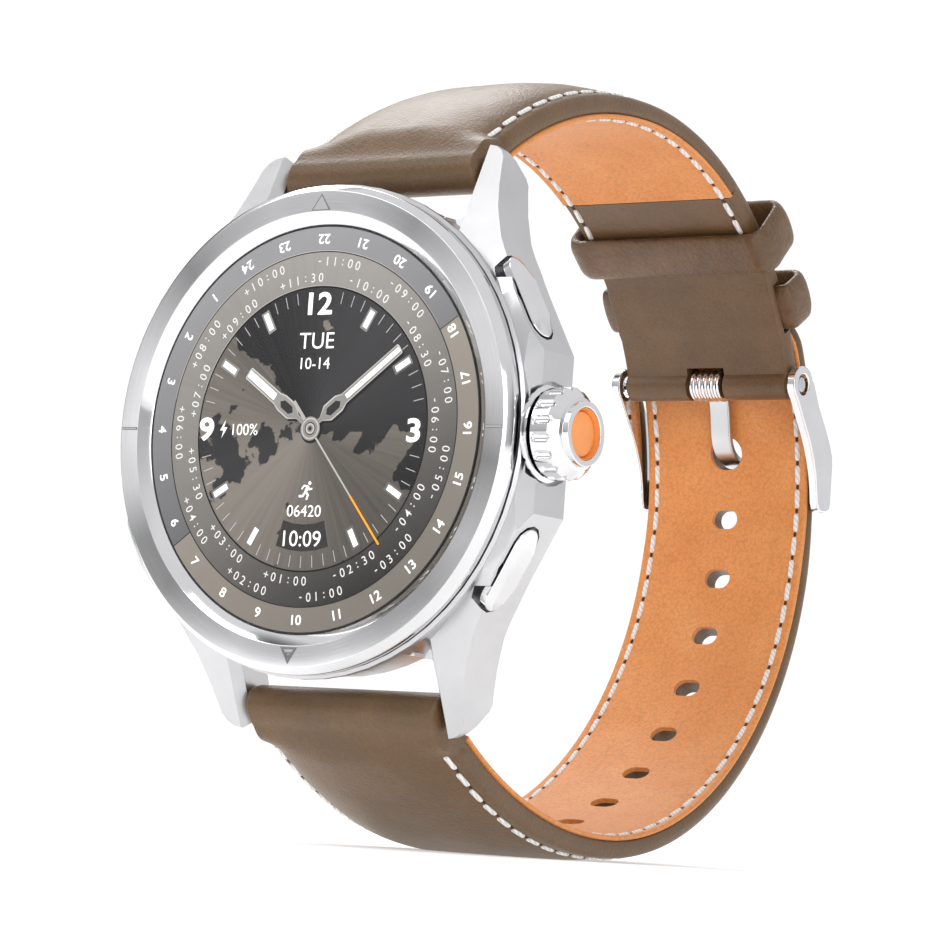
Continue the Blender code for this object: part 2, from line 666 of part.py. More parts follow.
def strap_layer(name, finish, places, tongue, top, bottom, reach=1.0):
    """A layer of a strap between two heights, each a function of the distance and the place across."""
    path = HOLE_PATH if tongue else BUCKLE_PATH
    shares = (-1.0, -0.9, -0.55, 0.0, 0.55, 0.9, 1.0)
    rings = []
    for distance in places:
        point, normal, _ = path.at(distance)
        width = half_width(distance, tongue) * reach
        spots = [(share * reach, point + Vector((share * width, 0, 0))) for share in shares]
        upper = [spot + normal * top(distance, across) for across, spot in spots]
        lower = [spot + normal * bottom(distance, across) for across, spot in spots]
        rings.append(upper + lower[::-1])
    return loft(name, rings, finish)


def make_strap_half(prefix, tongue):
    """Outer leather, padding and lining of one half of the strap."""
    path = HOLE_PATH if tongue else BUCKLE_PATH
    lining_end = path.length if tongue else LINING_END_AT

    def outer_top(distance, across):
        return outer_height(distance, across, tongue)

    def lining_top(distance, across):
        return LINING_THICKNESS - inner_height(distance, tongue)

    def inner_face(distance, across):
        return -inner_height(distance, tongue)

    def outer_bottom(distance, across):
        """The leather is whole where it wraps a bar, and lies over padding and lining elsewhere."""
        if distance < LINING_FROM - GAP or distance > lining_end + GAP / 2:
            return inner_face(distance, across)
        over_lining = lining_top(distance, across) + LAYER_GAP
        return max(outer_top(distance, across) - OUTER_THICKNESS, over_lining)

    roll = [-ROLL_RADIUS * math.cos(math.radians(angle)) for angle in (6, 30, 55, 75)]
    places = roll + stations(0, LINING_FROM - GAP - 0.01, 1.9)
    places += stations(LINING_FROM - GAP + 0.01, PADDING_FALLS_FROM, 2.8)
    if tongue:
        places += stations(PADDING_FALLS_FROM + 3.6, path.length - TIP_LENGTH, 3.9)
        places += [path.length - TIP_LENGTH * (1 - share) for share in (0.35, 0.65, 0.87, 1.0)]
    else:
        places += stations(PADDING_FALLS_FROM + 3.6, lining_end + GAP / 2 - 0.01, 3.7)
        places += stations(lining_end + GAP / 2 + 0.01, path.length - EYE_RADIUS, 3.6)
        eye_angles = [math.radians(angle) for angle in (55, 90, 125, 150, 172)]
        places += [path.length - EYE_RADIUS * math.cos(angle) for angle in eye_angles]
    outer = strap_layer(f"{prefix}_strap_outer", "brown_leather", places, tongue, outer_top, outer_bottom)

    def padding_top(distance, across):
        return outer_top(distance, across) - OUTER_THICKNESS - LAYER_GAP

    def padding_bottom(distance, across):
        return lining_top(distance, across) + LAYER_GAP

    strap_layer(f"{prefix}_strap_padding", "foam", stations(LINING_FROM + GAP, 19.0, 2.5), tongue,
                padding_top, padding_bottom, 0.72)

    flat_part = [distance for distance in places if LINING_FROM + 2 < distance < lining_end - 1]
    lined = stations(LINING_FROM, LINING_FROM + 1.8, 0.9) + flat_part + [lining_end - GAP / 2]
    lining = strap_layer(f"{prefix}_strap_lining", "orange_leather", lined, tongue, lining_top, inner_face)

    side = -1 if tongue else 1
    bar_hole = cylinder(f"{prefix}_roll_hole", BAR_RADIUS + GAP, -13, 13,
                        along_x(BAR_Y, side * BAR_Z), steps=TINY_STEPS)
    boolean(outer, bar_hole)
    return outer, lining


def make_buckle_strap():
    outer, _ = make_strap_half("buckle", tongue=False)
    eye = cylinder("buckle_eye_hole", EYE_BORE, -13, 13,
                   along_x(BUCKLE_BAR.y, BUCKLE_BAR.z), steps=TINY_STEPS)
    boolean(outer, eye)
    notch_from = BUCKLE_PATH.place(BUCKLE_PATH.length - 2.2)
    boolean(outer, block("tang_notch", (2 * NOTCH_HALF_WIDTH, 6, 6), (0, 3, 0), place=notch_from))
    at_keeper = BUCKLE_PATH.place(upper_at(FIXED_KEEPER_ANGLE))
    for side in (1, -1):
        slot = (4.0, KEEPER_WIDTH + 2 * GAP, 2 * (KEEPER_HOOK + GAP))
        boolean(outer, block("keeper_slot", slot, (side * (KEEPER_HOOK_X - GAP + 2.0), 0, 0), place=at_keeper))


def make_hole_strap():
    layers = make_strap_half("hole", tongue=True)
    holes = [(LAST_HOLE_AT + TANG_HOLE_SHIFT, TANG_HOLE_WIDTH, TANG_HOLE_LENGTH)]
    for number in range(1, HOLE_COUNT):
        holes.append((LAST_HOLE_AT - number * HOLE_PITCH, HOLE_WIDTH, HOLE_LENGTH))
    for distance, width, length in holes:
        outline = [(y, x) for x, y in pill(width, length, 4)]
        for layer in layers:
            boolean(layer, flat("strap_hole", outline, 8.0, HOLE_PATH.place(distance)))


def make_spring_bar(name, side):
    end = 12.6
    shoulder = 10.9
    turned(name, [
        (0, end), (BAR_TIP_RADIUS, end), (BAR_TIP_RADIUS, shoulder), (BAR_RADIUS, shoulder),
        (BAR_RADIUS, -shoulder), (BAR_TIP_RADIUS, -shoulder), (BAR_TIP_RADIUS, -end), (0, -end),
    ], along_x(BAR_Y, side * BAR_Z), "screw_steel", TINY_STEPS)


# ======== keepers and buckle ========

def rounded_box(half_x, low, high, radius):
    """A rounded rectangle across the strap, from the low to the high side."""
    x, top, bottom = half_x - radius, high - radius, low + radius
    corners = [(x, top, 0), (-x, top, 90), (-x, bottom, 180), (x, bottom, 270)]
    return [point for x, y, start in corners for point in arc((x, y), radius, start, start + 90, 4)]


def across_strap(angle):
    """A frame for outlines across the strap: +X across, +Y outward, +Z along the strap."""
    point, normal, ahead = BUCKLE_PATH.at(upper_at(angle))
    return frame(point, normal.cross(ahead), normal, ahead)


def make_keepers():
    place = across_strap(LOOSE_KEEPER_ANGLE)
    inner_x = STRAP_HALF_WIDTH
    top = KEEPER_INNER_HEIGHT + KEEPER_WALL
    bottom = STRAP_HALF_THICKNESS + GAP
    loose = flat("loose_keeper", rounded_box(inner_x + KEEPER_WALL, -bottom - KEEPER_WALL, top, 1.9),
                 KEEPER_WIDTH, place, "brown_leather")
    boolean(loose, flat("keeper_inside", rounded_box(inner_x, -bottom, KEEPER_INNER_HEIGHT, 0.7), 9.0, place))
    place = across_strap(FIXED_KEEPER_ANGLE)
    inner_x = BUCKLE_END_HALF_WIDTH + 0.5
    outer_x = inner_x + KEEPER_WALL
    right = [(KEEPER_HOOK_X, -KEEPER_HOOK), (outer_x - 0.6, -KEEPER_HOOK), (outer_x, 0.2)]
    right += arc((outer_x - 1.9, top - 1.9), 1.9, 0, 90, 4)
    inner = [(KEEPER_HOOK_X, KEEPER_HOOK), (inner_x, KEEPER_HOOK),
             (inner_x, KEEPER_INNER_HEIGHT - 0.7), (inner_x - 0.7, KEEPER_INNER_HEIGHT)]
    outline = right + [(-x, y) for x, y in reversed(right)]
    outline += [(-x, y) for x, y in inner] + inner[::-1]
    flat("fixed_keeper", outline, KEEPER_WIDTH, place, "brown_leather")


def make_buckle():
    bar_y, bar_z = BUCKLE_BAR.y, BUCKLE_BAR.z
    bar_end = ARM_OUTER_X - GAP
    cylinder("buckle_bar", BUCKLE_BAR_RADIUS, -bar_end, bar_end,
             along_x(bar_y, bar_z), "polished_steel", TINY_STEPS)
    arm = arc((bar_y, bar_z), 2.0, 35, 235, 8)
    arm += [(57.8, 9.9), (59.7, 7.3), (61.1, 4.4), (61.7, 1.4), (62.1, 0.7), (ARM_OUTER_Y - 0.4, 0.7)]
    arm += [(ARM_OUTER_Y, 1.2), (ARM_OUTER_Y, 6.5), (63.9, 7.6), (61.0, 11.9)]
    thickness = ARM_OUTER_X - ARM_INNER_X
    middle = (ARM_OUTER_X + ARM_INNER_X) / 2
    buckle = flat("buckle_frame", arm, thickness, side_view(middle), "polished_steel")
    boolean(buckle, flat("left_arm_form", arm, thickness, side_view(-middle)), "UNION")
    plate = (2 * ARM_OUTER_X - 0.4, PLATE_OUTER_Y - PLATE_INNER_Y, PLATE_TOP_Z - PLATE_BOTTOM_Z)
    centre = (0, (PLATE_OUTER_Y + PLATE_INNER_Y) / 2, (PLATE_TOP_Z + PLATE_BOTTOM_Z) / 2)
    boolean(buckle, block("front_plate_form", plate, centre), "UNION")
    boolean(buckle, cylinder("arm_eye", EYE_BORE, -13, 13, along_x(bar_y, bar_z), steps=TINY_STEPS))

    # the tang runs down from the knuckle's outer side, bends through its hole and rests over the plate
    line = [(bar_y + 1.2, bar_z - 0.3), (59.5, 12.3), (60.3, 8.7), (60.75, 7.6), (61.5, 6.7), (62.4, 6.2)]
    line += [(63.4, 5.95), (64.9, 5.85), (66.2, 4.9), (66.7, 3.6)]
    blade = thick_line(line, TANG_HALF_THICKNESS)
    tang = flat("buckle_tang", blade, 2 * TANG_HALF_WIDTH, side_view(), "polished_steel")
    knuckle = cylinder("knuckle_form", KNUCKLE_RADIUS, -KNUCKLE_HALF_WIDTH, KNUCKLE_HALF_WIDTH,
                       along_x(bar_y, bar_z), steps=16)
    boolean(tang, knuckle, "UNION")
    boolean(tang, cylinder("knuckle_bore", EYE_BORE, -5, 5, along_x(bar_y, bar_z), steps=TINY_STEPS))


def thick_line(points, half):
    """The outline of a line of points with a thickness."""
    left, right = [], []
    for index, (x, y) in enumerate(points):
        before = points[max(index - 1, 0)]
        after = points[min(index + 1, len(points) - 1)]
        way = Vector((after[0] - before[0], after[1] - before[1])).normalized()
        left.append((x - way.y * half, y + way.x * half))
        right.append((x + way.y * half, y - way.x * half))
    return left + right[::-1]


make_mid_case()
make_front()
make_inside()
make_back()
make_crown()
make_pusher(1, "upper")
make_pusher(-1, "lower")
make_buckle_strap()
make_hole_strap()
make_spring_bar("upper_spring_bar", 1)
make_spring_bar("lower_spring_bar", -1)
make_keepers()
make_buckle()
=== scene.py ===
"""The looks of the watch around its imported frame: steel, crown, dial, leather straps and buckle."""

import math

import bmesh
import bpy
from mathutils import Matrix, Vector, noise


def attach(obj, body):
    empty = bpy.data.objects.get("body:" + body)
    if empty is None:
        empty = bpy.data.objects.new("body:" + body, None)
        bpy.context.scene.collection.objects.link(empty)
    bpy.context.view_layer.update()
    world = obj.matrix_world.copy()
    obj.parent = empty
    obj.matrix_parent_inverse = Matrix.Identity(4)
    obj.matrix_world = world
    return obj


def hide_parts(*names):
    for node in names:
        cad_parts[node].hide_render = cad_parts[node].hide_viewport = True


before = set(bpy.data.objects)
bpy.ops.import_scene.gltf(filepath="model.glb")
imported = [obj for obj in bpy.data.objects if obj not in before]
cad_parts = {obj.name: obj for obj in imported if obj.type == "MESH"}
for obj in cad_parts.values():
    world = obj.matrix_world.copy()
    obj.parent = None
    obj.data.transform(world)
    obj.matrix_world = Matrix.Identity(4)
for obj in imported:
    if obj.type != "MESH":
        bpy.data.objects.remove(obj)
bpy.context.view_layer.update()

# ---- sizes in millimetres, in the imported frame: +X crown, +Y into the wrist, +Z twelve o'clock ----
MM = 0.001
BACK_Y = 0.006
FACE_Y = -13.0              # the bezel's front face; depths are measured from it
BEZEL_RADIUS = 22.65
GLASS_RADIUS = 18.9
DIAL_DEPTH = 0.86
CROWN_Y = -7.4
CROWN_RADIUS = 4.15
CROWN_BASE_X = 23.8
CROWN_GROOVES = 16
FLANK_X = 23.4
FLANK_HALF_HEIGHT = 7.35
FLANK_ANGLE = math.radians(29.0)
PUSHER_Y = -8.2
PUSHER_Z = 12.3
PUSHER_LENGTH = 8.4
PUSHER_WIDTH = 3.0
BAR_Y = -2.8
BAR_Z = 25.3
ROLL_RADIUS = 2.1
STRAP_HALF_WIDTH = 11.0
BUCKLE_HALF_WIDTH = 10.2
TONGUE_HALF_WIDTH = 10.0
STRAP_HALF_THICKNESS = 1.12
TONGUE_HALF_THICKNESS = 0.9
PADDED_HEIGHT = 3.15
PADDING_FALLS_FROM = 15.0
PADDED_TO = 39.0
LINING_FROM = 4.0
LINING_THICKNESS = 0.5
HOLE_PITCH = 6.8
HOLE_COUNT = 9
TIP_LENGTH = 7.0
EYE_RADIUS = 1.6
KNUCKLE_RIBS = 5
STITCH_PITCH = 2.6
STITCH_INSET = 1.15
KEEPER_HALF_WIDTH = 2.5
KEEPER_TOP = 4.1
KEEPER_CORNER = 1.5
KEEPER_GAP = 0.25
FIXED_KEEPER_ANGLE = 33.8
LOOSE_KEEPER_ANGLE = 47.3
FLOOR_Z = -37.9


# ======== meshes ========

def grain(point, scale, detail=3):
    """Smooth noise from -1 to 1 at a point in millimetres."""
    return noise.fractal(Vector(point) / scale, 0.6, 2.1, detail)


def add_mesh(name, points, faces, material, body, slot, sharp=34.0, place=None):
    """A closed mesh from points in millimetres, shaded smooth up to an angle."""
    mesh = bpy.data.meshes.new(name)
    mesh.from_pydata([Vector(p) * MM for p in points], [], faces)
    made = bmesh.new()
    made.from_mesh(mesh)
    bmesh.ops.recalc_face_normals(made, faces=made.faces)
    made.to_mesh(mesh)
    made.free()
    mesh.polygons.foreach_set("use_smooth", [True] * len(mesh.polygons))
    mesh.set_sharp_from_angle(angle=math.radians(sharp))
    mesh.materials.append(material)
    obj = bpy.data.objects.new(name, mesh)
    bpy.context.scene.collection.objects.link(obj)
    if place is not None:
        obj.matrix_world = Matrix.Translation(place.translation * MM) @ place.to_3x3().to_4x4()
    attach(obj, body)
    return obj


def axes(origin, x, y, z):
    """A placing matrix from an origin and three directions."""
    columns = [Vector(v).normalized() for v in (x, y, z)]
    turn = Matrix((columns[0], columns[1], columns[2])).transposed()
    return Matrix.Translation(Vector(origin)) @ turn.to_4x4()


def face_axes(depth=0.0, x=0.0, z=0.0):
    """On the dial: +X right, +Y up to twelve, +Z out of the face towards the viewer."""
    return axes((x, FACE_Y + depth, z), (1, 0, 0), (0, 0, 1), (0, -1, 0))


def crown_axes():
    return axes((0, CROWN_Y, 0), (0, 1, 0), (0, 0, 1), (1, 0, 0))


def rounded(profile, radius, steps=3, closed=False):
    """The same profile with each inner corner rounded."""
    result = []
    count = len(profile)
    for index, point in enumerate(profile):
        if not closed and index in (0, count - 1):
            result.append(tuple(point))
            continue
        here = Vector(point)
        before, after = Vector(profile[index - 1]), Vector(profile[(index + 1) % count])
        reach = min(radius, (before - here).length * 0.45, (after - here).length * 0.45)
        start, end = here + (before - here).normalized() * reach, here + (after - here).normalized() * reach
        for step in range(steps + 1):
            t = step / steps
            result.append(tuple(start * (1 - t) ** 2 + here * 2 * t * (1 - t) + end * t ** 2))
    return result


def arc(centre, radius, start, end, steps):
    angles = [math.radians(start + (end - start) * i / steps) for i in range(steps + 1)]
    return [(centre[0] + radius * math.cos(a), centre[1] + radius * math.sin(a)) for a in angles]


def turned_faces(profile, steps, radius_at=None):
    """Points and faces of a profile of (radius, height) turned round +Z."""
    points, rings = [], []
    for radius, height in profile:
        if radius < 1e-6:
            rings.append([len(points)])
            points.append((0, 0, height))
            continue
        rings.append(list(range(len(points), len(points) + steps)))
        for index in range(steps):
            angle = 2 * math.pi * index / steps
            r = radius_at(radius, height, angle) if radius_at else radius
            points.append((r * math.cos(angle), r * math.sin(angle), height))
    faces = []
    pairs = list(zip(rings, rings[1:]))
    if profile[0][0] > 1e-6 and profile[-1][0] > 1e-6:
        pairs.append((rings[-1], rings[0]))
    for a, b in pairs:
        for index in range(steps):
            after = (index + 1) % steps
            corners = [a[index % len(a)], a[after % len(a)], b[after % len(b)], b[index % len(b)]]
            faces.append(list(dict.fromkeys(corners)))
    return points, faces


def turned(name, profile, place, material, body, slot, steps=192, radius_at=None, sharp=34.0):
    points, faces = turned_faces(profile, steps, radius_at)
    return add_mesh(name, points, faces, material, body, slot, sharp, place)


def skin(rings, closed=False):
    """Faces between rings of point numbers, with a cap at each end unless the last ring meets the first."""
    pairs = list(zip(rings, rings[1:]))
    faces = [] if closed else [rings[0][::-1], rings[-1]]
    if closed:
        pairs.append((rings[-1], rings[0]))
    for a, b in pairs:
        faces += [[a[i], a[(i + 1) % len(a)], b[(i + 1) % len(b)], b[i]] for i in range(len(a))]
    return faces


def prism(outline, low, high):
    """Points and faces of an outline between two heights."""
    count = len(outline)
    points = [(x, y, low) for x, y in outline] + [(x, y, high) for x, y in outline]
    faces = [list(range(count))[::-1], list(range(count, 2 * count))]
    faces += [[i, (i + 1) % count, (i + 1) % count + count, i + count] for i in range(count)]
    return points, faces


def merged(parts):
    """Several (points, faces, place) parts as one list of points and faces."""
    points, faces = [], []
    for part_points, part_faces, place in parts:
        start = len(points)
        points += [place @ Vector(p) for p in part_points]
        faces += [[start + i for i in face] for face in part_faces]
    return points, faces


def soften(obj, width, segments=3, angle=30.0):
    """Rounds the edges and evens the shading."""
    bevel = obj.modifiers.new("edges", "BEVEL")
    bevel.width = width * MM
    bevel.segments = segments
    bevel.limit_method = "ANGLE"
    bevel.angle_limit = math.radians(angle)
    bevel.harden_normals = False
    normals = obj.modifiers.new("shading", "WEIGHTED_NORMAL")
    normals.keep_sharp = True
    return obj


def smoothing_nodes():
    """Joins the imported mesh's facets and shades them smooth up to an angle."""
    tree = bpy.data.node_groups.new("smooth_facets", "GeometryNodeTree")
    tree.interface.new_socket("Geometry", in_out="INPUT", socket_type="NodeSocketGeometry")
    tree.interface.new_socket("Geometry", in_out="OUTPUT", socket_type="NodeSocketGeometry")
    start, end = tree.nodes.new("NodeGroupInput"), tree.nodes.new("NodeGroupOutput")
    remove = tree.nodes.new("GeometryNodeRemoveAttribute")
    remove.inputs["Name"].default_value = "custom_normal"
    merge = tree.nodes.new("GeometryNodeMergeByDistance")
    merge.inputs["Distance"].default_value = 1e-6
    faces = tree.nodes.new("GeometryNodeSetShadeSmooth")
    edges = tree.nodes.new("GeometryNodeSetShadeSmooth")
    edges.domain = "EDGE"
    angle = tree.nodes.new("GeometryNodeInputMeshEdgeAngle")
    below = tree.nodes.new("FunctionNodeCompare")
    below.operation = "LESS_EQUAL"
    below.inputs["B"].default_value = math.radians(26.0)
    link = tree.links.new
    link(start.outputs[0], remove.inputs["Geometry"])
    link(remove.outputs["Geometry"], merge.inputs["Geometry"])
    link(merge.outputs["Geometry"], faces.inputs["Geometry"])
    link(faces.outputs["Geometry"], edges.inputs["Geometry"])
    link(angle.outputs["Unsigned Angle"], below.inputs["A"])
    link(below.outputs["Result"], edges.inputs["Shade Smooth"])
    link(edges.outputs["Geometry"], end.inputs[0])
    return tree


SMOOTHING = smoothing_nodes()


def finish_node(name, material, width=0.0):
    """A kept CAD node: its material, smooth shading and, with a width, softened edges."""
    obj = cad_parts[name]
    obj.data.materials.clear()
    obj.data.materials.append(material)
    obj.modifiers.new("smooth", "NODES").node_group = SMOOTHING
    if width:
        soften(obj, width, 2, 26.0)
    return obj


# ======== materials ========

def srgb(red, green, blue):
    """A colour given as 0-255 values."""
    def linear(value):
        value /= 255.0
        return value / 12.92 if value <= 0.04045 else ((value + 0.055) / 1.055) ** 2.4
    return (linear(red), linear(green), linear(blue), 1.0)


def dimmed(colour, share):
    return tuple(c * share for c in colour[:3]) + (1.0,)


def put(tree, kind, inputs=None, **settings):
    made = tree.nodes.new(kind)
    for key, value in settings.items():
        setattr(made, key, value)
    for key, value in (inputs or {}).items():
        if isinstance(value, bpy.types.NodeSocket):
            tree.links.new(value, made.inputs[key])
        else:
            made.inputs[key].default_value = value
    return made


def surface(name, **sockets):
    material = bpy.data.materials.new(name)
    material.use_nodes = True
    tree = material.node_tree
    tree.nodes.clear()
    shader = put(tree, "ShaderNodeBsdfPrincipled", {k.replace("_", " "): v for k, v in sockets.items()})
    put(tree, "ShaderNodeOutputMaterial", {"Surface": shader.outputs[0]})
    return material, tree, shader


def spots(tree):
    return put(tree, "ShaderNodeTexCoord").outputs["Object"]


def noise_at(tree, vector, scale, detail=4.0, roughness=0.55):
    return put(tree, "ShaderNodeTexNoise", {
        "Vector": vector, "Scale": scale, "Detail": detail, "Roughness": roughness,
    }).outputs["Fac"]


def ramp(tree, value, *stops):
    made = put(tree, "ShaderNodeValToRGB", {"Fac": value})
    elements = made.color_ramp.elements
    while len(elements) < len(stops):
        elements.new(0.5)
    for element, (position, colour) in zip(elements, stops):
        element.position = position
        element.color = colour if len(colour) == 4 else (*colour, 1.0)
    return made.outputs["Color"]


def between(tree, value, low, high):
    return put(tree, "ShaderNodeMapRange", {"Value": value, "To Min": low, "To Max": high}).outputs["Result"]


def math_of(tree, operation, a, b=0.0):
    made = put(tree, "ShaderNodeMath", operation=operation)
    for index, value in enumerate((a, b)):
        if isinstance(value, bpy.types.NodeSocket):
            tree.links.new(value, made.inputs[index])
        else:
            made.inputs[index].default_value = value
    return made.outputs[0]


def times(tree, a, b):
    return math_of(tree, "MULTIPLY", a, b)


def plus(tree, a, b):
    return math_of(tree, "ADD", a, b)


def vector_times(tree, a, b):
    return put(tree, "ShaderNodeVectorMath", {0: a, 1: b}, operation="MULTIPLY").outputs[0]


def bump(tree, shader, height, distance, strength=1.0):
    made = put(tree, "ShaderNodeBump", {"Height": height, "Distance": distance, "Strength": strength})
    tree.links.new(made.outputs["Normal"], shader.inputs["Normal"])
    return made


def mixed(tree, factor, first, second, blend="MIX"):
    made = put(tree, "ShaderNodeMix", data_type="RGBA", blend_type=blend)
    for key, value in (("Factor", factor), ("A", first), ("B", second)):
        socket = next(s for s in made.inputs if s.name == key and s.enabled)
        if isinstance(value, bpy.types.NodeSocket):
            tree.links.new(value, socket)
        else:
            socket.default_value = value
    return next(s for s in made.outputs if s.enabled)


def steel(name, shade, low, high, grain_scale=9000.0, bump_by=0.000004):
    """Satin or polished steel: slightly uneven gloss and a fine grain."""
    material, tree, shader = surface(name, Metallic=1.0)
    where = spots(tree)
    cloud = noise_at(tree, where, 260.0, 3.0)
    fine = noise_at(tree, where, grain_scale, 2.0)
    dull = dimmed(shade, 0.93)
    tree.links.new(ramp(tree, cloud, (0.3, dull), (0.7, shade)), shader.inputs["Base Color"])
    uneven = plus(tree, times(tree, cloud, 0.5), times(tree, fine, 0.5))
    tree.links.new(between(tree, uneven, low, high), shader.inputs["Roughness"])
    bump(tree, shader, fine, bump_by)
    return material


# the painted reflection on the turned ring: how bright its colour is round the dial, by degrees clockwise
# from twelve
RING_PAINTED_SHEEN = (
    (0, 0.97), (12, 0.92), (30, 0.54), (45, 0.78), (60, 0.97), (76, 0.86), (98, 0.30), (118, 0.56),
    (135, 0.44), (150, 0.60), (165, 0.97), (197, 0.95), (212, 0.64), (225, 0.38), (241, 0.38), (255, 0.84),
    (285, 0.86), (300, 0.60), (315, 0.38), (331, 0.72), (345, 0.97),
)
RING_PAINTED_SEAM = 0.97   # the painted reflection's level at nine o'clock, where the sweep starts and ends


def brushed_ring(name):
    """Steel brushed round the dial: fine rings in gloss and height, stretched highlights and a painted
    reflection in its colour.
    """
    material, tree, shader = surface(name, Metallic=1.0, Anisotropic=0.82)
    where = spots(tree)
    flat = vector_times(tree, where, (1.0, 1.0, 0.0))
    radius = put(tree, "ShaderNodeVectorMath", {0: flat}, operation="LENGTH").outputs["Value"]
    parts = put(tree, "ShaderNodeSeparateXYZ", {0: where})
    turn = math_of(tree, "ARCTAN2", parts.outputs[1], parts.outputs[0])
    polar = put(tree, "ShaderNodeCombineXYZ", {
        0: times(tree, radius, 16000.0), 1: times(tree, turn, 5.0)}).outputs[0]
    lines = noise_at(tree, polar, 1.0, 3.0)
    sweep = put(tree, "ShaderNodeMapRange", {
        "Value": turn, "From Min": -math.pi, "From Max": math.pi}).outputs["Result"]
    stops = sorted((((450 - clock) / 360 + 0.5) % 1.0, level) for clock, level in RING_PAINTED_SHEEN)
    stops = [(0.0, RING_PAINTED_SEAM), *stops, (1.0, RING_PAINTED_SEAM)]
    # painted reflection: the ring's colour is brightened and darkened round the dial
    sheen = ramp(tree, sweep, *((at, (level, level, level * 1.01)) for at, level in stops))
    grooves = ramp(tree, lines, (0.25, (0.86, 0.86, 0.86)), (0.75, (1.0, 1.0, 1.0)))
    tree.links.new(mixed(tree, 1.0, sheen, grooves, "MULTIPLY"), shader.inputs["Base Color"])
    tree.links.new(between(tree, lines, 0.24, 0.36), shader.inputs["Roughness"])
    tangent = put(tree, "ShaderNodeTangent", direction_type="RADIAL", axis="Z").outputs[0]
    tree.links.new(tangent, shader.inputs["Tangent"])
    bump(tree, shader, lines, 0.000002)
    return material


CELL_DRIFT = 0.00035   # how far the leather's cells wander from a regular pattern, in metres


def leather(name, base, dark, light, cell=3400.0, depth=0.00003, rough=(0.42, 0.62), sheen=0.25):
    """Smooth-grain leather: pebbled cells, fine pores, uneven dye and a soft sheen."""
    material, tree, shader = surface(name)
    shader.inputs["Sheen Weight"].default_value = sheen
    shader.inputs["Sheen Roughness"].default_value = 0.32
    shader.inputs["Sheen Tint"].default_value = srgb(236, 224, 210)
    shader.inputs["Specular IOR Level"].default_value = 0.6
    where = spots(tree)
    drift = put(tree, "ShaderNodeTexNoise", {"Vector": where, "Scale": 900.0, "Detail": 2.0}).outputs["Color"]
    bent = put(tree, "ShaderNodeVectorMath", {
        0: where, 1: vector_times(tree, drift, (CELL_DRIFT, CELL_DRIFT, CELL_DRIFT))}).outputs[0]
    cells = put(tree, "ShaderNodeTexVoronoi", {"Vector": bent, "Scale": cell}).outputs["Distance"]
    pores = noise_at(tree, where, 6500.0, 3.0)
    dye = noise_at(tree, where, 170.0, 4.0, 0.6)
    streaks = noise_at(tree, where, 700.0, 5.0, 0.65)
    colour = ramp(tree, dye, (0.3, dark), (0.5, base), (0.72, light))
    in_cells = ramp(tree, cells, (0.25, (1.0, 1.0, 1.0)), (0.85, (0.72, 0.70, 0.68)))
    dyed = mixed(tree, 0.75, colour, in_cells, "MULTIPLY")
    tree.links.new(mixed(tree, between(tree, streaks, 0.0, 0.32), dyed, light), shader.inputs["Base Color"])
    tree.links.new(between(tree, streaks, *rough), shader.inputs["Roughness"])
    height = math_of(tree, "SUBTRACT", times(tree, pores, 0.35), cells)
    bump(tree, shader, plus(tree, height, times(tree, streaks, 0.8)), depth, 0.9)
    return material


def thread(name, colour):
    """Twisted sewing thread with a slightly darker groove."""
    material, tree, shader = surface(name, Roughness=0.62)
    shader.inputs["Sheen Weight"].default_value = 0.3
    where = spots(tree)
    twist = put(tree, "ShaderNodeTexWave", {
        "Vector": where, "Scale": 900.0, "Distortion": 3.0, "Detail": 2.0,
    }, bands_direction="DIAGONAL").outputs["Fac"]
    shaded = dimmed(colour, 0.72)
    tree.links.new(ramp(tree, twist, (0.0, shaded), (0.6, colour)), shader.inputs["Base Color"])
    bump(tree, shader, twist, 0.00004, 0.8)
    return material


def plain(name, colour, low, high, scale=1800.0, metal=0.0, depth=0.000006, **sockets):
    """Moulded or coated stock with a little variation in colour, gloss and height."""
    material, tree, shader = surface(name, Metallic=metal, **sockets)
    where = spots(tree)
    cloud = noise_at(tree, where, scale * 0.15, 4.0)
    fine = noise_at(tree, where, scale, 3.0)
    dull = dimmed(colour, 0.86)
    tree.links.new(ramp(tree, cloud, (0.3, dull), (0.7, colour)), shader.inputs["Base Color"])
    tree.links.new(between(tree, fine, low, high), shader.inputs["Roughness"])
    bump(tree, shader, fine, depth)
    return material


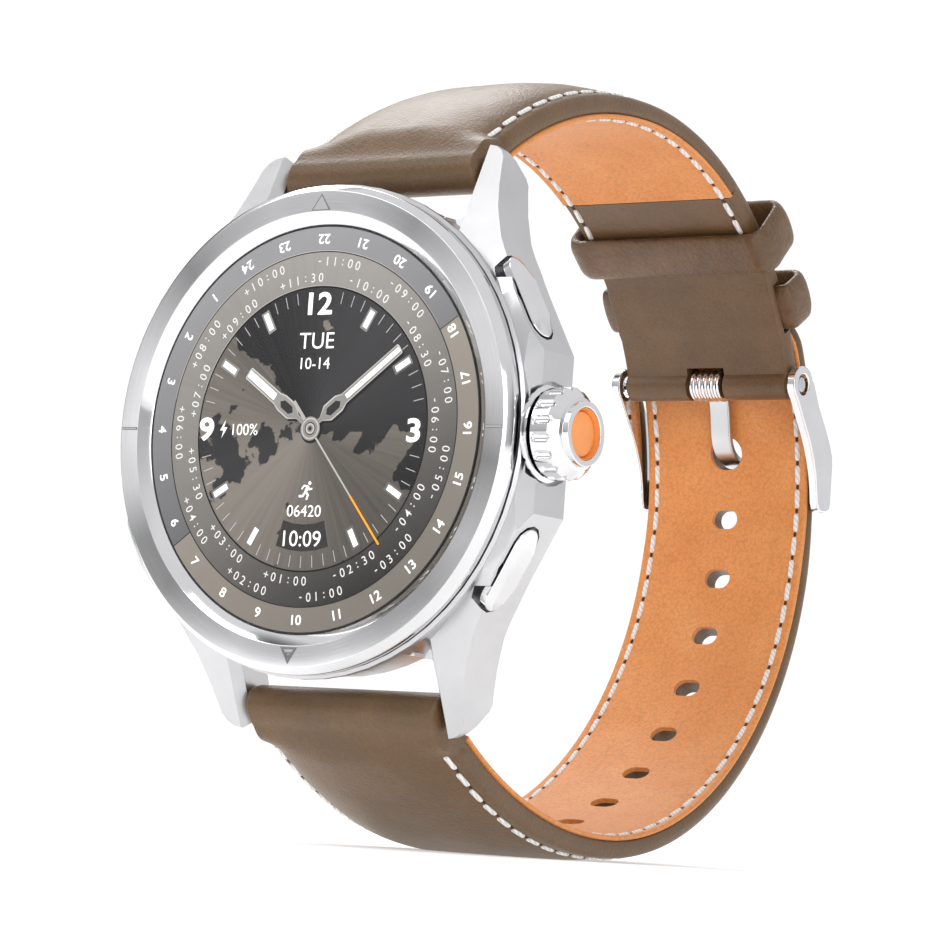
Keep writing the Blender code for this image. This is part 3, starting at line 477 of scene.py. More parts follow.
def lit(name, colour, glow, shade=0.0, conic=None, patches=None):
    """A layer of the display image that gives its own light.

    It carries a painted highlight towards eleven and painted shade towards five, by the share shade. conic
    adds a painted reflection that sweeps round as on a turned disc, and patches are the dark and light
    colours of the blotches behind the hands.
    """
    material, tree, shader = surface(name, Roughness=0.5)
    shader.inputs["Specular IOR Level"].default_value = 0.0
    where = spots(tree)
    parts = put(tree, "ShaderNodeSeparateXYZ", {0: where})
    # painted highlight towards eleven and painted shade towards five
    painted_lean = put(tree, "ShaderNodeMapRange", {
        "Value": math_of(tree, "SUBTRACT", parts.outputs[1], times(tree, parts.outputs[0], 0.45)),
        "From Min": -0.019, "From Max": 0.019, "To Min": 1.0 - shade, "To Max": 1.0 + shade,
    }).outputs["Result"]
    tone = colour
    if patches:
        dark, light = patches
        cloud = noise_at(tree, where, 150.0, 6.0, 0.55)
        blob = put(tree, "ShaderNodeTexNoise", {"Vector": where, "Scale": 55.0, "Detail": 0.0}).outputs["Fac"]
        lean = times(tree, plus(tree, parts.outputs[0], parts.outputs[1]), -3.2)
        total = plus(tree, plus(tree, times(tree, cloud, 0.8), times(tree, blob, 0.4)), lean)
        tone = ramp(tree, total, (0.60, dark), (0.607, light))
    painted_light = painted_lean
    # painted reflection that sweeps round the disc, as on turned metal
    if conic:
        turn = math_of(tree, "ARCTAN2", parts.outputs[1], parts.outputs[0])
        waves = math_of(tree, "SINE", times(tree, turn, 2.0))
        radius = put(tree, "ShaderNodeVectorMath", {0: where}, operation="LENGTH").outputs["Value"]
        around = put(tree, "ShaderNodeCombineXYZ", {
            0: times(tree, turn, 26.0), 1: times(tree, radius, 60.0)}).outputs[0]
        brush = noise_at(tree, around, 1.0, 3.0)
        brushed = between(tree, brush, 1.0 - conic * 0.5, 1.0 + conic * 0.5)
        painted_light = times(tree, painted_lean, plus(tree, times(tree, waves, conic * 0.6), brushed))
    result = mixed(tree, 1.0, tone, painted_light, "MULTIPLY")
    tree.links.new(result, shader.inputs["Base Color"])
    tree.links.new(result, shader.inputs["Emission Color"])
    shader.inputs["Emission Strength"].default_value = glow
    return material


SATIN = steel("satin_steel", (0.66, 0.66, 0.67, 1.0), 0.26, 0.38)
POLISHED = steel("polished_steel", (0.82, 0.82, 0.83, 1.0), 0.05, 0.10, 4000.0, 0.0000004)
SCREW = steel("screw_steel", (0.62, 0.62, 0.63, 1.0), 0.22, 0.36)
BRUSHED = brushed_ring("brushed_steel")
# dark steel for the painted shade in the bezel's engraved marks
ENGRAVED_SHADE = plain("engraved_shade_steel", (0.24, 0.24, 0.245, 1.0), 0.4, 0.6, metal=0.6)
BRIGHT_LINE = steel("bright_line", (0.9, 0.9, 0.91, 1.0), 0.12, 0.2)
BROWN = leather("brown_leather", srgb(103, 75, 42), srgb(95, 68, 37), srgb(115, 85, 50),
                rough=(0.34, 0.5), sheen=0.35)
KEEPER_LEATHER = leather("keeper_leather", srgb(98, 70, 40), srgb(85, 60, 34), srgb(116, 86, 55),
                         2200.0, 0.00006, (0.32, 0.5), 0.35)
ORANGE = leather("orange_leather", srgb(232, 150, 78), srgb(226, 142, 70), srgb(238, 160, 92),
                 3000.0, 0.00003, (0.5, 0.68), 0.35)
THREAD = thread("white_thread", (0.92, 0.915, 0.89, 1.0))
# dark brown for the painted shade in the stitch holes
STITCH_HOLE_SHADE = plain("stitch_hole_shade", srgb(70, 44, 26), 0.7, 0.85)
BLACK_RING = plain("display_black", (0.006, 0.006, 0.007, 1.0), 0.25, 0.4)
CERAMIC = plain("ceramic", (0.012, 0.012, 0.014, 1.0), 0.12, 0.24, 2600.0)
RUBBER = plain("rubber", (0.02, 0.02, 0.022, 1.0), 0.55, 0.75)
FRAME_PLASTIC = plain("frame_plastic", (0.05, 0.052, 0.055, 1.0), 0.4, 0.6)
BOARD = plain("circuit_board", (0.012, 0.09, 0.05, 1.0), 0.35, 0.55)
FOIL = plain("battery_foil", (0.55, 0.56, 0.58, 1.0), 0.22, 0.38, metal=1.0)
GOLD = plain("gold", (0.95, 0.68, 0.30, 1.0), 0.16, 0.3, metal=1.0)
CROWN_ORANGE = plain("crown_orange", srgb(255, 160, 80), 0.3, 0.42, Coat_Weight=0.3)
SENSOR_GLASS = plain("sensor_glass", (0.008, 0.008, 0.01, 1.0), 0.05, 0.12, Coat_Weight=0.5)
SENSOR_WINDOW = plain("sensor_lens", (0.035, 0.04, 0.045, 1.0), 0.12, 0.2)
EMITTER = plain("sensor_emitter", (0.10, 0.30, 0.14, 1.0), 0.25, 0.4)


# ======== floor, light and camera ========

def make_stage():
    bpy.ops.mesh.primitive_grid_add(
        x_subdivisions=8, y_subdivisions=8, size=6.0, location=(0, 0, FLOOR_Z * MM))
    floor = bpy.context.object
    floor.name = "floor"
    material, tree, shader = surface("pale_floor", Roughness=0.9)
    soft = noise_at(tree, spots(tree), 3.0, 2.0)
    tree.links.new(ramp(tree, soft, (0.3, (0.80, 0.80, 0.80)), (0.7, (0.84, 0.84, 0.84))),
                   shader.inputs["Base Color"])
    shader.inputs["Emission Color"].default_value = (1.0, 1.0, 1.0, 1.0)
    shader.inputs["Emission Strength"].default_value = 0.45
    floor.data.materials.append(material)


# what the steel mirrors: the direction, the cosine of the panel's half-angle and its brightness
PANELS = [
    ((-0.95, -0.25, 0.28), 0.92, 0.03),
    ((0.62, 0.78, 0.10), 0.90, 0.95),
    ((-0.57, -0.35, 0.74), 0.975, 0.10),
    ((-0.57, -0.62, -0.54), 0.975, 0.16),
    ((-0.57, 0.30, 0.76), 0.985, 0.20),
    ((0.98, -0.10, 0.15), 0.95, 0.08),
    ((-0.57, 0.81, 0.02), 0.86, 0.03),
    ((-0.30, -0.95, -0.05), 0.985, 0.12),
]
PANEL_FADE = 0.05


def make_world():
    """White to the eye; what lights and mirrors is brighter above, with dark panels and one bright one."""
    world = bpy.data.worlds.new("studio")
    bpy.context.scene.world = world
    world.use_nodes = True
    tree = world.node_tree
    tree.nodes.clear()
    direction = put(tree, "ShaderNodeTexCoord").outputs["Generated"]
    height = put(tree, "ShaderNodeSeparateXYZ", {0: direction}).outputs[2]
    share_up = put(tree, "ShaderNodeMapRange", {"Value": height, "From Min": -1.0}).outputs["Result"]
    base = ramp(tree, share_up, (0.0, (0.30, 0.30, 0.31)), (0.46, (0.50, 0.50, 0.51)),
                (0.56, (0.66, 0.66, 0.67)), (0.8, (0.95, 0.95, 0.96)))
    for aim, edge, level in PANELS:
        aimed = put(tree, "ShaderNodeVectorMath", {0: direction, 1: Vector(aim).normalized()},
                    operation="DOT_PRODUCT").outputs["Value"]
        share = ramp(tree, aimed, (edge, (0.0, 0.0, 0.0)), (min(edge + PANEL_FADE, 1.0), (1.0, 1.0, 1.0)))
        base = mixed(tree, share, base, (level, level, level * 1.02, 1.0))
    glow = put(tree, "ShaderNodeBackground", {"Color": base, "Strength": 0.85})
    seen = put(tree, "ShaderNodeBackground", {"Color": (1.0, 1.0, 1.0, 1.0), "Strength": 1.05})
    eye = put(tree, "ShaderNodeLightPath").outputs["Is Camera Ray"]
    both = put(tree, "ShaderNodeMixShader", {0: eye, 1: glow.outputs[0], 2: seen.outputs[0]})
    put(tree, "ShaderNodeOutputWorld", {"Surface": both.outputs[0]})


def add_light(name, location, target, size, power):
    light = bpy.data.lights.new(name, "AREA")
    light.shape = "RECTANGLE"
    light.size, light.size_y = size
    light.energy = power
    lamp = bpy.data.objects.new(name, light)
    bpy.context.scene.collection.objects.link(lamp)
    lamp.location = location
    lamp.rotation_mode = "QUATERNION"
    lamp.rotation_quaternion = (Vector(target) - Vector(location)).to_track_quat("-Z", "Y")


def make_lights():
    add_light("key_light", (-0.25, -0.45, 0.50), (0, 0, 0), (0.35, 0.35), 1.15)
    add_light("fill_light", (0.55, -0.45, 0.10), (0.02, 0.02, 0), (0.30, 0.45), 1.0)
    add_light("upper_sheen_light", (-0.36, 0.25, 0.46), (0, 0, 0.02), (0.34, 0.22), 1.25)


CAMERA_ANGLES = (35.206, -5.412, 4.001)   # azimuth, elevation and roll in degrees
CAMERA_AIM = (19.404, FACE_Y, -4.335)
CAMERA_DISTANCE = 316.8
CAMERA_LENS = 135.909


def make_camera():
    azimuth, elevation, roll = (math.radians(a) for a in CAMERA_ANGLES)
    back = Vector((math.sin(azimuth) * math.cos(elevation), -math.cos(azimuth) * math.cos(elevation),
                   math.sin(elevation)))
    level = (-back).cross(Vector((0, 0, 1))).normalized()
    upright = level.cross(-back)
    right = level * math.cos(roll) + upright * math.sin(roll)
    up = upright * math.cos(roll) - level * math.sin(roll)
    data = bpy.data.cameras.new("camera")
    data.lens = CAMERA_LENS
    data.sensor_width = 36.0
    data.clip_start = 0.01
    camera = bpy.data.objects.new("camera", data)
    bpy.context.scene.collection.objects.link(camera)
    place = Matrix((right, up, back)).transposed().to_4x4()
    place.translation = (Vector(CAMERA_AIM) + back * CAMERA_DISTANCE) * MM
    camera.matrix_world = place
    bpy.context.scene.camera = camera


# ======== the case's front ========

def make_bezel():
    """A ring with a wide polished inner chamfer, a brushed face and a polished outer chamfer."""
    outer = rounded([
        (GLASS_RADIUS + 0.05, 0.86), (20.05, 0.04), (22.0, 0.0), (22.62, 0.75), (BEZEL_RADIUS, 1.0),
        (BEZEL_RADIUS, 1.6), (20.0, 1.6), (20.0, 3.55), (GLASS_RADIUS + 0.05, 3.55),
    ], 0.08, 3, closed=True)
    profile = [(radius, -depth) for radius, depth in outer]
    bezel = turned("bezel_ring", profile, face_axes(), POLISHED, "case", "satin_steel", 256)
    bezel.data.materials.append(BRUSHED)
    for face in bezel.data.polygons:
        centre = face.center
        radius = math.hypot(centre.x, centre.y) / MM
        if 20.02 < radius < 22.02 and centre.z > -0.12 * MM:
            face.material_index = 1
    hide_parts("bezel")


def clear_glass():
    """Glass that lets the display through and mirrors only a little."""
    material, tree, shader = surface("clear_glass")
    tree.nodes.remove(shader)
    out = tree.nodes[0]
    through = put(tree, "ShaderNodeBsdfTransparent", {"Color": (0.99, 0.99, 0.99, 1.0)})
    gloss = put(tree, "ShaderNodeBsdfGlossy", {"Roughness": 0.03})
    share = times(tree, put(tree, "ShaderNodeFresnel", {"IOR": 1.45}).outputs[0], 0.25)
    both = put(tree, "ShaderNodeMixShader", {0: share, 1: through.outputs[0], 2: gloss.outputs[0]})
    tree.links.new(both.outputs[0], out.inputs["Surface"])
    return material


def make_glass():
    edge = GLASS_RADIUS
    profile = rounded([(0, -0.70), (edge - 0.15, -0.70), (edge, -0.8), (edge, -0.845), (0, -0.845)], 0.05)
    lens = turned("glass", profile, face_axes(), clear_glass(), "case", "cover_glass", 192)
    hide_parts("cover_glass")
    edge = GLASS_RADIUS + 0.03
    base = turned("display_glass", [(0, -0.9), (edge, -0.9), (edge, -1.75), (0, -1.75)], face_axes(),
                  BLACK_RING, "case", "display", 192)
    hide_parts("display_panel")


def make_marks():
    """A triangle at twelve and at six and a line at three and at nine, drawn as dark frames of painted shade
    for their engraved grooves, with bright fills.
    """
    marks, fills = [], []
    foot, height = 20.15, 1.55
    for angle, half in ((0, 1.05), (180, 0.95)):
        place = face_axes() @ Matrix.Rotation(math.radians(-angle), 4, "Z")
        outline = [(-half, foot), (half, foot), (0.0, foot + height)]
        if angle:
            marks.append((*hollow(outline, 0.62, 0.0, 0.03), place))
            small = [(x * 0.36, foot + 0.48 + (y - foot) * 0.36) for x, y in outline]
            marks.append((*hollow(small, 0.5, 0.0, 0.03), place))
        else:
            marks.append((*hollow(outline, 0.86, 0.0, 0.03), place))
            middle = foot + 0.52
            fill = [(x * 0.86, middle + (y - middle) * 0.86) for x, y in outline]
            fills.append((*prism(fill, 0.0, 0.02), place))
    for angle in (90, -90):
        place = face_axes() @ Matrix.Rotation(math.radians(angle), 4, "Z")
        marks.append((*prism(box(0.13, 20.1, 21.95), 0.0, 0.025), place))
        fills.append((*prism(box(0.075, 20.17, 21.95), 0.0, 0.04), place))
    # the dark frames are painted shade for the engraved grooves
    add_mesh("bezel_mark_fills", *merged(fills), BRIGHT_LINE, "case", "satin_steel")
    add_mesh("bezel_marks", *merged(marks), ENGRAVED_SHADE, "case", "satin_steel")


def hollow(outline, share, low, high):
    """A thin frame between an outline and its smaller copy, as points and faces."""
    count = len(outline)
    middle = (sum(x for x, _ in outline) / count, sum(y for _, y in outline) / count)
    inner = [(middle[0] + (x - middle[0]) * share, middle[1] + (y - middle[1]) * share) for x, y in outline]
    points = [(x, y, h) for h in (low, high) for ring in (outline, inner) for x, y in ring]
    faces = []
    for i in range(count):
        j = (i + 1) % count
        for a, b in ((0, count), (count, 3 * count), (3 * count, 2 * count), (2 * count, 0)):
            faces.append([a + i, a + j, b + j, b + i])
    return points, faces


def make_crown():
    """A fluted cap with a chamfer, a raised rim and an orange disc sunk in it."""
    base = CROWN_BASE_X
    straight = [base + 0.12 + 1.72 * i / 34 for i in range(35)]
    profile = [(0, base), (1.3, base), (3.85, base), (4.02, base + 0.04)]
    profile += [(CROWN_RADIUS, x) for x in straight]
    profile += [(CROWN_RADIUS - 0.04 - 0.78 * t, base + 1.92 + 0.72 * t)
                for t in (0, 0.15, 0.3, 0.5, 0.75, 1.0)]
    profile += rounded([(3.28, 26.5), (2.95, 26.56), (2.95, 27.2), (2.35, 27.2), (2.3, 26.35), (0, 26.35)],
                       0.12, 4)
    pitch = 2 * math.pi / CROWN_GROOVES
    half, depth, start, end = 0.43, 0.36, base + 0.62, base + 1.62

    def radius_at(radius, height, angle):
        if radius < 3.2:
            return radius
        off = ((angle / pitch) % 1.0 - 0.5) * pitch * CROWN_RADIUS
        along = max(start - height, 0.0, height - end)
        distance = math.hypot(off, along) / half
        if distance >= 1.0:
            return radius
        return radius - depth * math.sqrt(1.0 - distance ** 2)

    crown = turned("crown_knob", profile, crown_axes(), POLISHED, "crown", "polished_steel",
                   CROWN_GROOVES * 22, radius_at, 50.0)
    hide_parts("crown_cap")
    disc = rounded([(0, 26.72), (1.95, 26.72), (2.05, 26.6), (2.05, 26.38), (0, 26.38)], 0.06)
    inlay = turned("crown_disc", disc, crown_axes(), CROWN_ORANGE, "crown", "crown_orange", 96)
    turned("crown_disc_wall", [(2.06, 26.4), (2.26, 26.4), (2.31, 27.08), (2.24, 27.08)],
           crown_axes(), CROWN_ORANGE, "crown", "crown_orange", 96)
    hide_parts("crown_inlay")


def pusher_axes(side):
    """+Z out of the facet, +Y along it away from the crown, +X across the case."""
    drop = (PUSHER_Z - FLANK_HALF_HEIGHT) * math.tan(FLANK_ANGLE)
    normal = Vector((math.cos(FLANK_ANGLE), 0, side * math.sin(FLANK_ANGLE)))
    along = Vector((-math.sin(FLANK_ANGLE), 0, side * math.cos(FLANK_ANGLE)))
    return axes((FLANK_X - drop, PUSHER_Y, side * PUSHER_Z), along.cross(normal), along, normal)


def make_pushers():
    """Long heads with a sloping top, each on a stem."""
    for side, name in ((1, "upper"), (-1, "lower")):
        half_x, half_y = PUSHER_WIDTH / 2, PUSHER_LENGTH / 2 - PUSHER_WIDTH / 2
        outline = arc((0, half_y), half_x, 0, 180, 14) + arc((0, -half_y), half_x, 180, 360, 14)
        top = [(-0.95, half_y + 0.55), (0.35, half_y - 0.35), (1.2, half_y - 1.15),
               (1.2, -half_y + 0.75), (0.1, -half_y + 0.15), (-0.95, -half_y + 0.1)]
        made = bmesh.new()
        for height, ring in ((-0.7, outline), (0.12, outline), (0.62, top)):
            for x, y in ring:
                made.verts.new((side * x * MM, y * MM, height * MM))
        bmesh.ops.convex_hull(made, input=made.verts)
        bmesh.ops.dissolve_limit(made, angle_limit=math.radians(3), verts=made.verts, edges=made.edges)
        made.verts.index_update()
        points = [v.co / MM for v in made.verts]
        faces = [[v.index for v in f.verts] for f in made.faces]
        made.free()
        head = add_mesh(f"{name}_pusher_head", points, faces, POLISHED, f"{name}_pusher", "polished_steel",
                        24.0, pusher_axes(side))
        soften(head, 0.07, 2, 24.0)
        turned(f"{name}_pusher_stem", [(0, -0.7), (0.8, -0.7), (0.8, -4.5), (0.7, -4.6), (0, -4.6)],
               pusher_axes(side), POLISHED, f"{name}_pusher", "polished_steel", 32)
        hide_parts(f"{name}_pusher")


# ======== the display image ========

SHEET = 0.003   # the thickness of a layer
ON_GROUND, ON_EDGES, ON_FRAMES = 0.006, 0.012, 0.018   # how far the layers are raised
RING_INNER, RING_OUTER, DIAL_OUTER = 16.45, 18.75, 13.15
DAY_FROM, DAY_TO = 57.3, 233.9
HOUR_ANGLE, MINUTE_ANGLE, SECOND_ANGLE = -55.6, 52.8, 140.45
TOP_HOUR = 22
OFFSETS = 22
# text, height, x, y, extra weight and width
READINGS = [
    ("12", 2.05, 0.1, 11.62, 0.07, 1.2),
    ("3", 2.1, 11.72, -0.2, 0.08, 1.25),
    ("9", 2.1, -12.25, 0.0, 0.08, 1.25),
    ("TUE", 1.55, 0.0, 8.15, 0.0, 1.05),
    ("10-14", 1.1, 0.0, 6.05, 0.0, 1.05),
    ("100%", 1.1, -7.65, -0.05, 0.0, 1.0),
    ("06420", 1.1, -0.05, -7.6, 0.0, 1.05),
    ("10:09", 1.5, -0.05, -10.15, 0.0, 1.05),
]


def ring_sector(inner, outer, start, end, low, high, steps=160):
    """A flat band round the dial between two clockwise angles from twelve, as points and faces."""
    points, faces = [], []
    for index in range(steps + 1):
        angle = math.radians(90 - (start + (end - start) * index / steps))
        c, s = math.cos(angle), math.sin(angle)
        points += [(inner * c, inner * s, low), (outer * c, outer * s, low),
                   (outer * c, outer * s, high), (inner * c, inner * s, high)]
    for index in range(steps):
        a, b = 4 * index, 4 * index + 4
        faces += [[a + i, a + (i + 1) % 4, b + (i + 1) % 4, b + i] for i in range(4)]
    faces += [[0, 1, 2, 3], [4 * steps + i for i in (3, 2, 1, 0)]]
    return points, faces


def lettering(text, size, x, y, turn=0.0, weight=0.0, width=1.0):
    """Flat figures centred on a point of the dial, turned clockwise, as points and faces."""
    curve = bpy.data.curves.new("figures", "FONT")
    curve.body = text
    curve.size = size / 0.72
    curve.align_x, curve.align_y = "CENTER", "CENTER"
    curve.offset = weight
    curve.resolution_u = 4
    obj = bpy.data.objects.new("figures", curve)
    bpy.context.scene.collection.objects.link(obj)
    bpy.context.view_layer.update()
    mesh = bpy.data.meshes.new_from_object(obj.evaluated_get(bpy.context.evaluated_depsgraph_get()))
    corners = [v.co.copy() for v in mesh.vertices]
    faces = [list(f.vertices) for f in mesh.polygons]
    bpy.data.objects.remove(obj)
    bpy.data.curves.remove(curve)
    bpy.data.meshes.remove(mesh)
    middle_x = (min(p.x for p in corners) + max(p.x for p in corners)) / 2
    middle_y = (min(p.y for p in corners) + max(p.y for p in corners)) / 2
    outline = [((p.x - middle_x) * width, p.y - middle_y) for p in corners]
    return [(px, py, 0.0) for px, py in turned_outline(outline, turn, (x, y))], faces


def at_angle(radius, clockwise):
    """The point at a radius and an angle clockwise from twelve."""
    a = math.radians(90 - clockwise)
    return radius * math.cos(a), radius * math.sin(a)


def turned_outline(outline, clockwise, offset=(0.0, 0.0)):
    a = -math.radians(clockwise)
    return [(offset[0] + x * math.cos(a) - y * math.sin(a), offset[1] + x * math.sin(a) + y * math.cos(a))
            for x, y in outline]


def stroke(line, half):
    """The outline of a thick open line."""
    left, right = [], []
    for index, point in enumerate(line):
        before, after = Vector(line[max(index - 1, 0)]), Vector(line[min(index + 1, len(line) - 1)])
        ahead = (after - before).normalized()
        side = Vector((-ahead.y, ahead.x)) * half
        left.append(tuple(Vector(point) + side))
        right.append(tuple(Vector(point) - side))
    return left + right[::-1]


def layer(name, parts, raised, material):
    """One layer of the display image, raised over its ground."""
    drawn = merged([(*part, Matrix.Identity(4)) for part in parts])
    return add_mesh(name, *drawn, material, "case", "display", place=face_axes(DIAL_DEPTH - raised))


def flat_part(outline):
    return prism(outline, 0.0, SHEET)


def flat_ring(inner, outer, start=0, end=360, steps=160):
    return ring_sector(inner, outer, start, end, 0, SHEET, steps)


def disc(radius, step=10, centre=(0, 0)):
    return flat_part(arc(centre, radius, 0, 360 - step, 360 // step - 1))


def clock_box(clockwise, half_x, low, high):
    """An upright bar of the dial turned to its angle."""
    return flat_part(turned_outline(box(half_x, low, high), clockwise))


def box(half_x, low, high):
    return [(-half_x, low), (half_x, low), (half_x, high), (-half_x, high)]


def make_dial():
    """The display's layers from the ground up: rings, edges, figures, markers and readings."""
    patches = ((0.026, 0.025, 0.026, 1.0), (0.125, 0.112, 0.098, 1.0))
    grey = lit("dial_ground", (0.05, 0.049, 0.052, 1.0), 0.9, 0.35, 0.55, patches)
    layer("dial_ground", [disc(DIAL_OUTER, 2)], 0.0, grey)
    city = lit("dial_city_ring", (0.125, 0.118, 0.110, 1.0), 1.05, 0.84, 0.2)
    layer("dial_city_ring", [flat_ring(DIAL_OUTER, RING_INNER, steps=240)], 0.0, city)
    night = lit("dial_night_ring", (0.115, 0.114, 0.117, 1.0), 0.95, 0.85, 0.1)
    layer("dial_night_ring", [flat_ring(RING_INNER, RING_OUTER, DAY_TO - 360, DAY_FROM)], 0.0, night)
    day = lit("dial_day_ring", (0.215, 0.192, 0.166, 1.0), 0.8, 0.3, 0.06)
    layer("dial_day_ring", [flat_ring(RING_INNER, RING_OUTER, DAY_FROM, DAY_TO)], 0.0, day)

    shade = lit("dial_shadow", (0.012, 0.012, 0.013, 1.0), 0.6)
    edges = [flat_ring(DIAL_OUTER - 0.06, DIAL_OUTER + 0.1, steps=240),
             flat_ring(RING_INNER - 0.05, RING_INNER + 0.05, steps=240)]
    edges += [clock_box(clockwise, 0.04, RING_INNER, RING_OUTER) for clockwise in (DAY_FROM, DAY_TO)]
    frame_line = [at_angle(12.0, 180 + a) for a in (-17, -9, 0, 9, 17)]
    frame_line += [at_angle(9.4, 180 + a) for a in (17, 9, 0, -9, -17)]
    window = lit("dial_window", (0.035, 0.032, 0.031, 1.0), 0.8)
    opening = [(x * 0.86, y * 0.955 + 0.12) for x, y in frame_line]
    layer("dial_window", [flat_part(opening)], ON_GROUND, window)
    layer("dial_edges", edges, ON_GROUND, shade)
    glint = lit("dial_edge_glint", (0.24, 0.23, 0.22, 1.0), 0.8, 0.6)
    glints = [flat_ring(DIAL_OUTER + 0.1, DIAL_OUTER + 0.17, -75, 60, 120),
              flat_ring(RING_INNER + 0.05, RING_INNER + 0.12, -80, 55, 120)]
    layer("dial_edge_glints", glints, ON_GROUND, glint)

    white = lit("dial_white", (0.86, 0.86, 0.84, 1.0), 0.75)
    soft_white = lit("dial_soft_white", (0.62, 0.61, 0.59, 1.0), 0.7)
    layer("dial_hour_figures", hour_figures(), ON_EDGES, white)
    layer("dial_offset_figures", offset_figures(), ON_EDGES, soft_white)
    ticks = [minute * 6 for minute in range(60)
             if minute % 5 and (minute % 15 not in (1, 14) or minute in (29, 31))] + [180]
    layer("dial_ticks", [clock_box(clockwise, 0.035, 11.75, 12.85) for clockwise in ticks], ON_GROUND,
          lit("dial_tick", (0.42, 0.42, 0.43, 1.0), 0.7))
    hours = [hour * 30 for hour in range(12) if hour % 3]
    layer("dial_index_frames", [clock_box(clockwise, 0.47, 10.45, 12.6) for clockwise in hours], ON_EDGES,
          lit("dial_index_grey", (0.16, 0.158, 0.155, 1.0), 0.8, 0.5))
    layer("dial_index_fills", [clock_box(clockwise, 0.28, 10.7, 12.4) for clockwise in hours], ON_FRAMES,
          lit("dial_index_white", (0.78, 0.79, 0.75, 1.0), 0.75))

    signs = [lettering(*reading[:4], 0.0, *reading[4:]) for reading in READINGS]
    bolt = [(0.18, 0.85), (-0.42, -0.12), (-0.02, -0.12), (-0.2, -0.85), (0.42, 0.16), (0.03, 0.16)]
    signs.append(flat_part([(x - 10.2, y) for x, y in bolt]))
    signs += [flat_part(outline) for outline in runner_icon(0.0, -5.75)]
    layer("dial_readings", signs, ON_FRAMES, white)
    make_hands()


def hour_figures():
    """The hours of a day round the outer ring, counter-clockwise, feet outward."""
    figures = []
    for step in range(24):
        hour = (TOP_HOUR + step - 1) % 24 + 1
        x, y = at_angle(17.62, -15 * step)
        figures.append(lettering(str(hour), 0.92, x, y, -15 * step + 180, 0.02, 1.1))
    return figures


def offset_figures():
    """Hours ahead of or behind noon time, in two rows, each character set along its row."""
    figures = []
    for index in range(OFFSETS):
        clockwise = index * 360 / OFFSETS + 7
        outer_row = index % 2 == 0
        hours = (index * 24 // OFFSETS) - 11
        text = f"{hours:+03d}:00" if outer_row or index % 3 else f"{hours:+03d}:30"
        radius, spread = (15.55, 3.3) if outer_row else (14.05, 3.65)
        upside = 90 < clockwise % 360 < 270
        middle = (len(text) - 1) / 2
        for place, character in enumerate(text):
            turn = clockwise + (place - middle) * (-spread if upside else spread)
            x, y = at_angle(radius, turn)
            figures.append(lettering(character, 0.86, x, y, turn + (180 if upside else 0), 0.004))
    return figures


def runner_icon(x, y):
    """A plain striding figure made of a round head and six strokes."""
    head = arc((x + 0.42, y + 0.72), 0.17, 0, 340, 17)
    limbs = [
        [(0.25, 0.45), (-0.02, -0.12)], [(0.25, 0.42), (-0.22, 0.48), (-0.48, 0.16)],
        [(0.24, 0.42), (0.42, 0.12), (0.74, 0.22)], [(-0.02, -0.1), (0.3, -0.36), (0.14, -0.82)],
        [(-0.02, -0.1), (-0.3, -0.48), (-0.76, -0.5)],
    ]
    widths = (0.15, 0.085, 0.085, 0.11, 0.11)
    return [head] + [[(x + px, y + py) for px, py in stroke(line, half)] for line, half in zip(limbs, widths)]


def make_hands():
    """Hour, minute and second hand over a soft shadow, and the stacked rings of the hub."""
    metal = lit("hand_grey", (0.20, 0.195, 0.185, 1.0), 0.75, 0.5)
    rim = lit("hand_rim", (0.40, 0.385, 0.36, 1.0), 0.7, 0.3)
    slot = lit("hand_slot", (0.035, 0.034, 0.034, 1.0), 0.7)
    lume = lit("hand_white", (0.92, 0.92, 0.91, 1.0), 0.8)
    cast = lit("hand_shadow", (0.022, 0.021, 0.022, 1.0), 0.7)
    shadows, rims, bodies, slots, bars = [], [], [], [], []
    for clockwise, tip, from_bar, half, waist in ((HOUR_ANGLE, 9.35, 5.25, 0.42, 2.1),
                                                  (MINUTE_ANGLE, 12.1, 4.85, 0.31, 1.6)):
        side = [(0.22, 0.6), (0.22, waist - 0.15), (0.85, waist + 0.75), (0.85, from_bar - 1.0),
                (half + 0.22, from_bar - 0.3), (half + 0.2, tip - 0.1), (half, tip)]
        outline = [(-x, y) for x, y in side] + side[::-1]
        inner = [(x * 0.84, 0.6 + (y - 0.6) * 0.985 + 0.04) for x, y in outline]
        hole = [(-0.4, waist + 0.9), (0.0, waist + 0.55), (0.4, waist + 0.9), (0.4, from_bar - 1.15),
                (0.0, from_bar - 0.75), (-0.4, from_bar - 1.15)]
        shadows.append(flat_part(turned_outline(outline, clockwise, (0.22, -0.2))))
        rims.append(flat_part(turned_outline(outline, clockwise)))
        bodies.append(flat_part(turned_outline(inner, clockwise)))
        slots.append(flat_part(turned_outline(hole, clockwise)))
        bars.append(clock_box(clockwise, half - 0.08, from_bar, tip - 0.15))
    shadows.append(disc(1.25, centre=(0.12, -0.12)))
    layer("hand_shadows", shadows, 0.0215, cast)
    layer("hand_rims", rims, 0.026, rim)
    layer("hand_bodies", bodies, 0.031, metal)
    layer("hand_slots", slots, 0.036, slot)
    layer("hand_bars", bars, 0.036, lume)
    second = [clock_box(SECOND_ANGLE, 0.09, -3.3, 8.15), clock_box(SECOND_ANGLE, 0.17, -3.3, -1.0)]
    layer("hand_second", second, 0.041, rim)
    layer("hand_second_tip", [clock_box(SECOND_ANGLE, 0.095, 8.1, 13.7)], 0.041,
          lit("hand_orange", (0.85, 0.30, 0.02, 1.0), 0.9))
    hub = [(1.12, metal), (1.0, rim), (0.86, metal), (0.6, slot), (0.5, rim), (0.34, metal), (0.2, slot)]
    for index, (radius, material) in enumerate(hub):
        layer(f"hand_hub_{index + 1}", [disc(radius)], 0.046 + 0.004 * index, material)


# ======== leather ========

